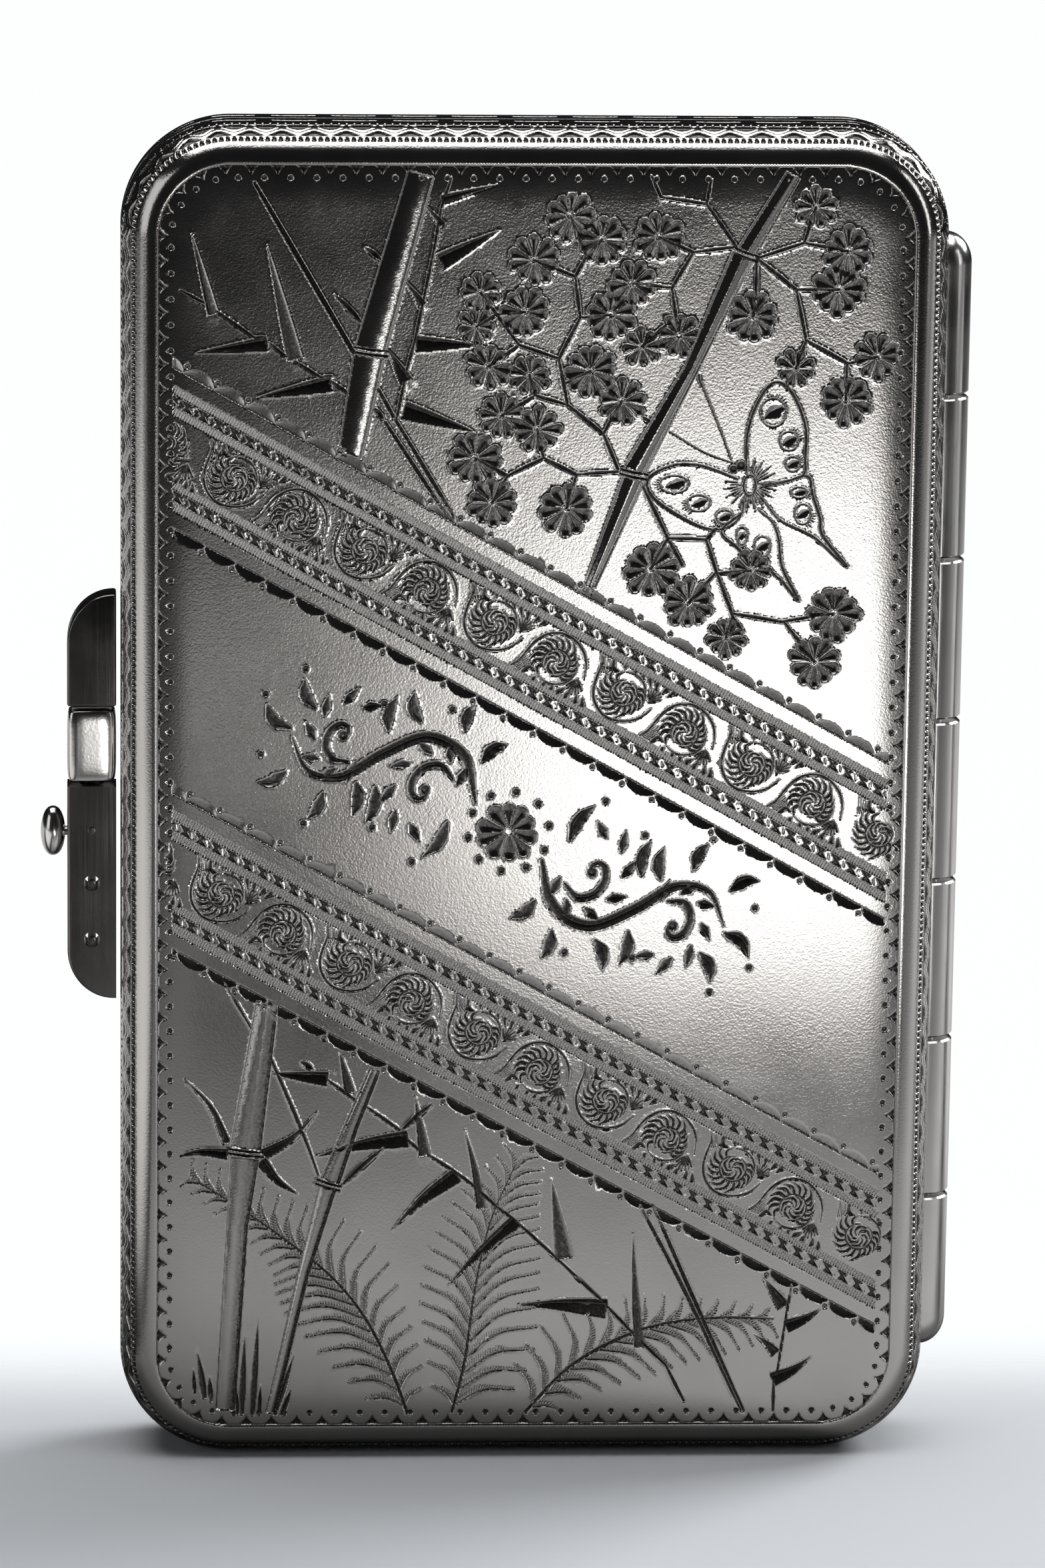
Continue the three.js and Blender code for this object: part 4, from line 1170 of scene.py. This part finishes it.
def capped_loft(bm, rows):
    """A loft whose first and last rings are filled, so that the skin is closed."""
    rings = loft(bm, rows)
    bm.faces.new(rings[0][::-1])
    bm.faces.new(rings[-1])


def build_inside(side, body, name, slot):
    """The inner skin of a half: its parting edge, inner wall and floor."""
    land = PARTING_GAP - 0.03
    inner = BORDER - INSIDE_WALL
    section = [(BORDER, PARTING_GAP), (BORDER - 0.04, land), (inner + 0.04, land), (inner, PARTING_GAP)]
    deep = FIELD_DEPTH - INSIDE_FLOOR
    for k in range(9):
        a = math.pi / 2 * k / 8
        section.append((inner - INSIDE_CORNER * (1 - math.cos(a)),
                        deep - INSIDE_CORNER + INSIDE_CORNER * math.sin(a)))
    rows = []
    for offset, depth in section:
        rows.append([(x, side * depth, z) for x, z in ring(offset)])
    rows = [[tuple(p) for p in clear_of_barrel(np.array(row, float))] for row in rows]
    bm = bmesh.new()
    rings = loft(bm, rows)
    bm.faces.new(rings[-1])
    bmesh.ops.remove_doubles(bm, verts=bm.verts, dist=1e-5)
    new_piece(name, bm, body, slot)


def once_round(count):
    """Evenly spaced angles once round a circle."""
    return [2 * math.pi * k / count for k in range(count)]


def lathe(bm, profile, centre):
    """Turned shape about a vertical line through centre; profile is (radius, z) pairs."""
    rows = []
    for radius, z in profile:
        rows.append([(centre[0] + radius * math.cos(a), centre[1] + radius * math.sin(a), z)
                     for a in once_round(BARREL_SIDES)])
    loft(bm, rows)
    bmesh.ops.remove_doubles(bm, verts=bm.verts, dist=1e-5)
    open_rings = [e for e in bm.edges if e.is_boundary]
    if open_rings:
        bmesh.ops.contextual_create(bm, geom=open_rings)


def build_knuckles():
    """Polished tubes of the hinge, alternately on the two halves, domed at the top and bottom."""
    chamfer = 0.13
    bodies = {n: frame["nodes"][n]["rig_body"] for n in KNUCKLE_NAMES}
    for name in KNUCKLE_NAMES:
        low, high = BARREL[name][0].z, BARREL[name][1].z
        profile = []
        if low < BARREL_LOW + 0.5:
            profile += [(BARREL_RADIUS * math.sin(a), low + BARREL_DOME * (1 - math.cos(a)))
                        for a in np.linspace(0.06, math.pi / 2, 16)]
        else:
            profile += [(BARREL_RADIUS - END_RING, low), (BARREL_RADIUS - chamfer, low),
                        (BARREL_RADIUS, low + chamfer)]
        if high > BARREL_HIGH - 0.5:
            profile += [(BARREL_RADIUS * math.sin(a), high - BARREL_DOME * (1 - math.cos(a)))
                        for a in np.linspace(math.pi / 2, 0.06, 16)]
        else:
            profile += [(BARREL_RADIUS, high - chamfer), (BARREL_RADIUS - chamfer, high),
                        (BARREL_RADIUS - END_RING, high)]
        bm = bmesh.new()
        lathe(bm, profile, (BARREL_X, 0))
        piece = new_piece(f"{name}_tube", bm, bodies[name], "plain_silver")
        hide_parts(name)


def refined(node):
    """A copy of a CAD node with its flat faces merged and its edges rounded over."""
    source = frame["nodes"][node]
    bm = bmesh.new()
    bm.from_mesh(source.data)
    bmesh.ops.remove_doubles(bm, verts=bm.verts, dist=1e-6)
    bmesh.ops.dissolve_limit(bm, angle_limit=math.radians(1), verts=bm.verts, edges=bm.edges)
    for vert in bm.verts:
        vert.co = Vector(((vert.co.x - CENTRE_X) / MM, vert.co.y / MM, vert.co.z / MM))
    piece = new_piece(f"{node}_worked", bm, source["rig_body"], "plain_silver")
    round_over = piece.modifiers.new("round_over", "BEVEL")
    round_over.width = BLOCK_BEVEL * MM
    round_over.segments = 3
    round_over.limit_method = "ANGLE"
    round_over.angle_limit = math.radians(32)
    round_over.harden_normals = True
    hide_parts(node)


KEEPER_LEAN = 0.075        # the bright block sits slightly askew
KEEPER_SLIM = 0.93         # its thickness, as a share of the CAD block's
KEEPER_STEPS = 40
KEEPER_SIDES = 96
BOLT_BORE = 0.9            # radius of the hole that the bolt slides up into


def build_keeper():
    """The cushioned bright block between the two catch blocks, bored for the bolt from below."""
    low, high = node_box("catch_keeper")
    centre, half = (low + high) / 2, (high - low) / 2
    bm = bmesh.new()
    rows = []
    for k in range(KEEPER_STEPS + 1):
        t = -1 + 2 * k / KEEPER_STEPS
        bulge = (1 - abs(t) ** 4) ** 0.25 if abs(t) < 1 else 0
        z = centre.z + half.z * t
        row = []
        for a in once_round(KEEPER_SIDES):
            c, s = math.cos(a), math.sin(a)
            r = (abs(c) ** 5 + abs(s) ** 5) ** (-1 / 5)
            swell = 0.8 + 0.2 * bulge
            across, through = half.x * swell * r * c, KEEPER_SLIM * half.y * swell * r * s
            row.append((centre.x + across, centre.y + through + KEEPER_LEAN * across, z))
        rows.append(row)
    pin_low, pin_high = node_box("housing_rivet_lower")
    bore = (pin_low.x + pin_high.x) / 2
    for z in (low.z, centre.z):
        rows.insert(0, [(bore + BOLT_BORE * math.cos(a), centre.y + BOLT_BORE * math.sin(a), z)
                        for a in once_round(KEEPER_SIDES)])
    capped_loft(bm, rows)
    body = frame["nodes"]["catch_keeper"]["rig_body"]
    piece = new_piece("catch_keeper_block", bm, body, "bright_silver", angle=60)
    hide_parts("catch_keeper")


BALL_ACROSS, BALL_THROUGH = 0.9, 1.1      # half its size along x and y
BALL_STEPS = 40
BALL_SIDES = 64
NECK_RADIUS = 0.62
NECK_WAIST = 0.16          # how much thinner the neck is in its middle
NECK_START = 0.5           # the neck begins this far from the ball's centre, inside it
NECK_STEPS = 8
NECK_SIDES = 32


def build_ball():
    """The oval thumb ball on the catch bolt, with its neck."""
    low, high = node_box("catch_ball")
    rx, ry, rz = BALL_ACROSS, BALL_THROUGH, (high.z - low.z) / 2
    centre = Vector((low.x + rx, (low.y + high.y) / 2, (low.z + high.z) / 2))
    bm = bmesh.new()
    rows = []
    for k in range(1, BALL_STEPS):
        rise = math.pi * k / BALL_STEPS
        r = math.sin(rise) ** 0.85
        rows.append([(centre.x + rx * r * math.cos(a), centre.y + ry * r * math.sin(a),
                      centre.z - rz * math.cos(rise)) for a in once_round(BALL_SIDES)])
    capped_loft(bm, rows)
    neck = []
    for k in range(NECK_STEPS + 1):
        t = k / NECK_STEPS
        x = centre.x + NECK_START + (high.x - centre.x - NECK_START) * t
        waist = NECK_WAIST * math.sin(math.pi * min(1, t * 1.1)) if t < 1 else 0
        r = NECK_RADIUS - waist
        neck.append([(x, centre.y + r * math.cos(a), centre.z + r * math.sin(a))
                     for a in once_round(NECK_SIDES)])
    capped_loft(bm, neck)
    piece = new_piece("catch_thumb_ball", bm, frame["nodes"]["catch_ball"]["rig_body"], "bright_silver")
    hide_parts("catch_ball")


PIN_STEP = 0.93            # height of the third pin above the second, as a share of their spacing
PIN_STUB = 0.15            # how deep the third pin goes
PIN_DOME = 0.03
PIN_SIDES = 24


def build_rivets():
    """Shallow domed pin ends on the lower housing: two go through it, one shows in front only."""
    boxes = [(name, *node_box(name)) for name in ("housing_rivet_lower", "housing_rivet_upper")]
    step = boxes[1][1].z - boxes[0][1].z
    for name, low, high in boxes:
        bm = bmesh.new()
        rivet_body(bm, (low + high) / 2, (high.x - low.x) / 2, low.y, high.y)
        piece = new_piece(f"{name}_pin", bm, frame["nodes"][name]["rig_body"], "plain_silver")
        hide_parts(name)
    bm = bmesh.new()
    centre = (low + high) / 2 + Vector((0, 0, PIN_STEP * step))
    rivet_body(bm, centre, (high.x - low.x) / 2, low.y, low.y + PIN_STUB)
    new_piece("housing_pin_front", bm, frame["nodes"][name]["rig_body"], "plain_silver")


def rivet_body(bm, centre, radius, front, back):
    """A short pin along y with a low dome on each end."""
    profile = [(radius * math.sin(a), front - PIN_DOME * math.cos(a))
               for a in np.linspace(0.1, math.pi / 2, 7)]
    profile += [(radius * math.cos(a), back + PIN_DOME * math.sin(a))
                for a in np.linspace(0, math.pi / 2 - 0.1, 7)]
    rows = [[(centre.x + r * math.cos(a), y, centre.z + r * math.sin(a)) for a in once_round(PIN_SIDES)]
            for r, y in profile]
    capped_loft(bm, rows)


# ---------------------------------------------------------------- materials
def material(name):
    mat = bpy.data.materials.new(name)
    mat.use_nodes = True
    tree = mat.node_tree
    shader = tree.nodes["Principled BSDF"]
    return mat, tree, shader


def noise(tree, scale, detail=2.0, stretch=(1, 1, 1)):
    """Fractal noise over the object's own coordinates, stretched along an axis for brushed metal."""
    where = tree.nodes.new("ShaderNodeTexCoord")
    mapping = tree.nodes.new("ShaderNodeMapping")
    mapping.inputs["Scale"].default_value = stretch
    field = tree.nodes.new("ShaderNodeTexNoise")
    field.inputs["Scale"].default_value = scale
    field.inputs["Detail"].default_value = detail
    tree.links.new(where.outputs["Object"], mapping.inputs["Vector"])
    tree.links.new(mapping.outputs["Vector"], field.inputs["Vector"])
    return field.outputs["Fac"]


def ramp(tree, value, low, high, start=0.0, end=1.0):
    node = tree.nodes.new("ShaderNodeMapRange")
    node.inputs["From Min"].default_value = low
    node.inputs["From Max"].default_value = high
    node.inputs["To Min"].default_value = start
    node.inputs["To Max"].default_value = end
    tree.links.new(value, node.inputs["Value"])
    return node.outputs["Result"]


def math_node(tree, operation, a, b):
    node = tree.nodes.new("ShaderNodeMath")
    node.operation = operation
    node.use_clamp = True
    for socket, value in zip(node.inputs, (a, b)):
        if isinstance(value, (int, float)):
            socket.default_value = value
        else:
            tree.links.new(value, socket)
    return node.outputs["Value"]


def mix(tree, share, a, b):
    """Colour between a and b, each a colour or a socket."""
    node = tree.nodes.new("ShaderNodeMix")
    node.data_type = "RGBA"
    tree.links.new(share, node.inputs[0])
    for socket, value in zip((node.inputs[6], node.inputs[7]), (a, b)):
        if isinstance(value, tuple):
            socket.default_value = (*value, 1)
        else:
            tree.links.new(value, socket)
    return node.outputs[2]


def bump(tree, shader, height, strength, distance):
    node = tree.nodes.new("ShaderNodeBump")
    node.inputs["Strength"].default_value = strength
    node.inputs["Distance"].default_value = distance
    tree.links.new(height, node.inputs["Height"])
    tree.links.new(node.outputs["Normal"], shader.inputs["Normal"])


GRAIN_DEPTH = 0.00002      # metres


def metal(name, colour, rough, grain, strength, stretch=(1, 1, 1), dull=(0.35, 0.33, 0.31),
          tarnished_and_shaded=False):
    """Worn silver or gilt: soft patches, fine grain, and, where it is chased, dark recesses of patina and
    painted shade.
    """
    mat, tree, shader = material(name)
    shader.inputs["Metallic"].default_value = 1.0
    patches = noise(tree, 120, 5)
    fine = noise(tree, grain, 3, stretch)
    base = mix(tree, ramp(tree, patches, 0.45, 0.75, 0, 0.2), colour, dull)
    roughness = ramp(tree, noise(tree, 300, 3), 0.3, 0.7, rough[0], rough[1])
    if tarnished_and_shaded:
        # darkens the colour by the attribute: patina in the cuts, painted shade in recesses and on the
        # stalks' right sides
        layer = tree.nodes.new("ShaderNodeAttribute")
        layer.attribute_name = "tarnish"
        depth = layer.outputs["Fac"]
        specks = ramp(tree, noise(tree, 5200, 2), 0.3, 0.75, 0.75, 1.25)
        depth = math_node(tree, "MULTIPLY", depth, specks)
        base = mix(tree, ramp(tree, depth, 0.12, 0.9), base, (0.10, 0.096, 0.093))
        roughness = math_node(tree, "ADD", roughness, ramp(tree, depth, 0.2, 1, 0, 0.18))
    tree.links.new(base, shader.inputs["Base Color"])
    tree.links.new(roughness, shader.inputs["Roughness"])
    bump(tree, shader, fine, strength, GRAIN_DEPTH)
    return mat


BRUSHED = (1, 1, 0.03)     # grain drawn out along the height
# copies of the one silver differ in painted colour: the catch blocks' and pins' copy is painted dark as
# shade, the hinge tubes', keeper's and ball's copies are painted lighter as painted light
MATERIALS = {
    "engraved_silver": metal("engraved_silver", (0.66, 0.645, 0.63), (0.12, 0.16),
                             7000, 0.38, tarnished_and_shaded=True),
    "plain_silver": metal("plain_silver", (0.40, 0.39, 0.385), (0.16, 0.3), 3200, 0.5, BRUSHED),
    "block_silver": metal("block_silver", (0.19, 0.185, 0.18), (0.2, 0.34), 3200, 0.8, BRUSHED,
                          (0.1, 0.1, 0.1)),
    "barrel_silver": metal("barrel_silver", (0.80, 0.79, 0.78), (0.16, 0.26), 3200, 0.6, BRUSHED),
    "bright_silver": metal("bright_silver", (0.88, 0.87, 0.855), (0.12, 0.2), 4200, 0.2),
    "gilt_lining": metal("gilt_lining", (0.86, 0.66, 0.30), (0.2, 0.32), 3600, 0.3, (1, 1, 0.2),
                         (0.55, 0.38, 0.15)),
    "gilt_clip": metal("gilt_clip", (0.97, 0.83, 0.55), (0.12, 0.2), 3600, 0.2, (1, 1, 0.2),
                       (0.7, 0.55, 0.3)),
    "steel": metal("steel", (0.55, 0.55, 0.56), (0.25, 0.38), 3000, 0.3),
}


# pieces that take the painted-shade copy of the silver (catch blocks, housing pins) and the painted-light
# copy (hinge tubes)
FINISHES = {"hinge_knuckle": "barrel_silver", "catch_upper": "block_silver", "catch_lower": "block_silver",
            "housing": "block_silver"}


def dress():
    """Gives every piece, and every CAD node that stays visible, the material of its slot."""
    for obj in bpy.data.objects:
        if obj.type != "MESH" or obj.get("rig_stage"):
            continue
        slot = obj.get("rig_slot") or NODE_SLOTS.get(obj.name, "plain_silver")
        finish = next((kind for start, kind in FINISHES.items() if obj.name.startswith(start)), slot)
        obj.data.materials.clear()
        obj.data.materials.append(MATERIALS[finish])


# ---------------------------------------------------------------- camera, floor and light
# The camera's few numbers come from a fit to the photo's outline; lengths are metres
CAMERA_YAW, CAMERA_DROP, CAMERA_ROLL = math.radians(3.355), math.radians(13.32), math.radians(0.729)
CAMERA_DISTANCE = 0.55092
CAMERA_LENS = 171.26
AIM_LEFT, AIM_UP = 0.00035, 0.00056


def place_camera():
    """A long lens from a little to the left and above, turned by the camera's own small roll."""
    yaw, drop = CAMERA_YAW, CAMERA_DROP
    ahead = Vector((math.sin(yaw) * math.cos(drop), math.cos(yaw) * math.cos(drop), -math.sin(drop)))
    target = Vector((CENTRE_X, 0, MIDDLE * MM))
    data = bpy.data.cameras.new("camera")
    data.sensor_width = 36
    data.lens = CAMERA_LENS
    data.clip_end = 20
    camera = add_object("camera", data)
    place = target - CAMERA_DISTANCE * ahead
    turn = ahead.to_track_quat("-Z", "Y").to_matrix().to_4x4()
    right, up = turn.col[0].to_3d(), turn.col[1].to_3d()
    aim = target - AIM_LEFT * right + AIM_UP * up
    turn = (aim - place).to_track_quat("-Z", "Y").to_matrix().to_4x4()
    camera.matrix_world = Matrix.Translation(place) @ turn @ Matrix.Rotation(CAMERA_ROLL, 4, "Z")
    bpy.context.scene.camera = camera


def lamp(name, place, aim, width, height, power):
    data = bpy.data.lights.new(name, "AREA")
    data.shape = "RECTANGLE"
    data.size, data.size_y = width, height
    data.energy = power
    light = add_object(name, data)
    place, aim = Vector(place), Vector(aim)
    turn = (aim - place).to_track_quat("-Z", "Y").to_matrix().to_4x4()
    light.matrix_world = Matrix.Translation(place) @ turn
    light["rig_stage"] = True


def stage_surface(name, bm, shade):
    """Finishes a bmesh, in metres, as a part of the stage."""
    mesh = bpy.data.meshes.new(name)
    bm.to_mesh(mesh)
    bm.free()
    mesh.materials.append(shade)
    surface = add_object(name, mesh)
    surface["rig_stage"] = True
    return surface


def plane(name, corners, shade):
    """A stage surface from its corners, in metres."""
    bm = bmesh.new()
    bm.faces.new([bm.verts.new(c) for c in corners])
    return stage_surface(name, bm, shade)


def paper(name, colour, rough, glow):
    mat, _, shader = material(name)
    shader.inputs["Base Color"].default_value = (*colour, 1)
    shader.inputs["Roughness"].default_value = rough
    shader.inputs["Emission Color"].default_value = (*colour, 1)
    shader.inputs["Emission Strength"].default_value = glow
    return mat


def fade(tree, axis, low, high):
    """0 before low and 1 after high along one of the object's axes, in metres, eased between."""
    where = tree.nodes.new("ShaderNodeTexCoord")
    split = tree.nodes.new("ShaderNodeSeparateXYZ")
    tree.links.new(where.outputs["Object"], split.inputs["Vector"])
    node = tree.nodes.new("ShaderNodeMapRange")
    node.interpolation_type = "SMOOTHERSTEP"
    first, last = (low, high) if low < high else (high, low)
    node.inputs["From Min"].default_value = first
    node.inputs["From Max"].default_value = last
    node.inputs["To Min"].default_value = 0.0 if low < high else 1.0
    node.inputs["To Max"].default_value = 1.0 if low < high else 0.0
    tree.links.new(split.outputs[axis], node.inputs["Value"])
    return node.outputs["Result"]


def reflected_only(surface):
    """Keeps a stage surface out of the picture: only polished metal sees it."""
    surface.visible_camera = False
    surface.visible_diffuse = False
    surface.visible_shadow = False
    return surface


def glow_card(name, centre, half, turn, strength, soft):
    """A glowing card that lies on the floor, seen only in reflections, with soft edges: soft is the
    width of the fade at its left, right, near and far edge."""
    shade, tree, shader = material(f"{name}_paper")
    shader.inputs["Base Color"].default_value = (0, 0, 0, 1)
    shader.inputs["Emission Color"].default_value = (1, 0.985, 0.965, 1)
    x, y = half
    left, right, near, far = soft
    glow = math_node(tree, "MULTIPLY", fade(tree, "X", -x, left - x), fade(tree, "X", x, x - right))
    glow = math_node(tree, "MULTIPLY", glow, fade(tree, "Y", y, y - near))
    glow = math_node(tree, "MULTIPLY", glow, fade(tree, "Y", -y, far - y))
    tree.links.new(ramp(tree, glow, 0, 1, 0, strength), shader.inputs["Emission Strength"])
    card = reflected_only(plane(name, [(-x, -y, 0), (x, -y, 0), (x, y, 0), (-x, y, 0)], shade))
    card.location = (*centre, 0.001)
    card.rotation_euler = (0, 0, math.radians(turn))


FLOOR_SIDE, FLOOR_NEAR, FLOOR_BACK = 0.9, -0.5, 0.05      # metres


def build_stage():
    """Pale floor that melts into a white surround, soft boxes above, and a darker ground with glowing cards
    on it that only the polished metal sees. The ground's colour is painted light and shade: light just in
    front of the case, near black far off, with a painted shadow at the case's foot."""
    pale = (0.80, 0.83, 0.87)
    floor, tree, shader = material("floor_paper")
    shader.inputs["Base Color"].default_value = (*pale, 1)
    shader.inputs["Roughness"].default_value = 0.8
    solid = math_node(tree, "MULTIPLY", fade(tree, "Y", 0.03, 0.0), fade(tree, "Y", FLOOR_NEAR, -0.25))
    solid = math_node(tree, "MULTIPLY", solid, fade(tree, "X", FLOOR_SIDE, 0.45))
    solid = math_node(tree, "MULTIPLY", solid, fade(tree, "X", -FLOOR_SIDE, -0.45))
    tree.links.new(solid, shader.inputs["Alpha"])
    corners = [(-FLOOR_SIDE, FLOOR_NEAR, 0), (FLOOR_SIDE, FLOOR_NEAR, 0), (FLOOR_SIDE, FLOOR_BACK, 0),
               (-FLOOR_SIDE, FLOOR_BACK, 0)]
    seen = plane("floor", corners, floor)
    seen.visible_glossy = False
    seen.visible_shadow = False

    ground, tree, shader = material("ground_paper")
    # painted light and shade on the ground for the metal to reflect: near black far off, light in front of
    # the case
    far = mix(tree, fade(tree, "Y", -0.36, -0.16), (0.01, 0.01, 0.01), (0.34, 0.34, 0.34))
    near = mix(tree, fade(tree, "Y", -0.13, -0.02), far, (0.95, 0.95, 0.95))
    # painted shadow at the case's foot
    foot = mix(tree, fade(tree, "Y", -0.02, -0.002), near, (0.25, 0.25, 0.25))
    tree.links.new(foot, shader.inputs["Base Color"])
    shader.inputs["Roughness"].default_value = 0.8
    tree.links.new(fade(tree, "Y", 0.03, 0.0), shader.inputs["Alpha"])
    reflected_only(plane("ground", corners, ground))

    glow_card("card", (0.040, -0.27), (0.046, 0.16), 5.5, 3.9, (0.05, 0.035, 0.09, 0.08))
    glow_card("side_card", (-0.27, -0.125), (0.22, 0.125), 0.0, 0.7, (0.1, 0.05, 0.02, 0.1))
    glow_card("block_card", (-0.0235, -0.265), (0.005, 0.03), 0.0, 2.2, (0.002, 0.002, 0.01, 0.02))
    glow_card("back_card", (0.0, 0.34), (0.5, 0.34), 0.0, 0.5, (0.15, 0.4, 0.3, 0.06))

    surround = paper("surround_paper", (0.96, 0.985, 1.0), 0.9, 1.0)
    bm = bmesh.new()
    bmesh.ops.create_icosphere(bm, subdivisions=4, radius=2.5)
    dome = stage_surface("surround", bm, surround)
    dome.visible_glossy = False
    dome.visible_diffuse = False
    dome.visible_shadow = False

    mid = (CENTRE_X, 0, 0.05)
    lamp("overhead", (0.0, 0.02, 0.62), mid, 0.7, 0.5, 2.5)
    lamp("key", (0.55, 0.3, 0.45), mid, 0.35, 0.35, 3.2)
    lamp("left_card", (-0.55, -0.35, 0.2), mid, 0.35, 0.5, 0.4)
    lamp("right_card", (0.6, -0.3, 0.25), mid, 0.12, 0.5, 0.3)
    world = bpy.data.worlds.new("studio")
    bpy.context.scene.world = world
    world.use_nodes = True
    world.node_tree.nodes["Background"].inputs["Color"].default_value = (0.5, 0.5, 0.52, 1)
    world.node_tree.nodes["Background"].inputs["Strength"].default_value = 0.02
    bpy.context.scene.view_settings.view_transform = "Standard"


# ---------------------------------------------------------------- build everything
NODE_SLOTS = {name: obj.data.materials[0].name.split(".")[0] if obj.data.materials else "plain_silver"
              for name, obj in frame["nodes"].items()}
build_face(engrave_front(), -1, "front_half", "front_shell", "engraved_silver")
build_inside(-1, "front_half", "front_half_inside", "plain_silver")
build_inside(1, "back_half", "back_half_inside", "plain_silver")
build_face(engrave_back(), 1, "back_half", "back_shell", "engraved_silver")
build_knuckles()
build_keeper()
build_ball()
build_rivets()
for node in ("catch_upper_block", "catch_lower_housing"):
    refined(node)
dress()
place_camera()
build_stage()
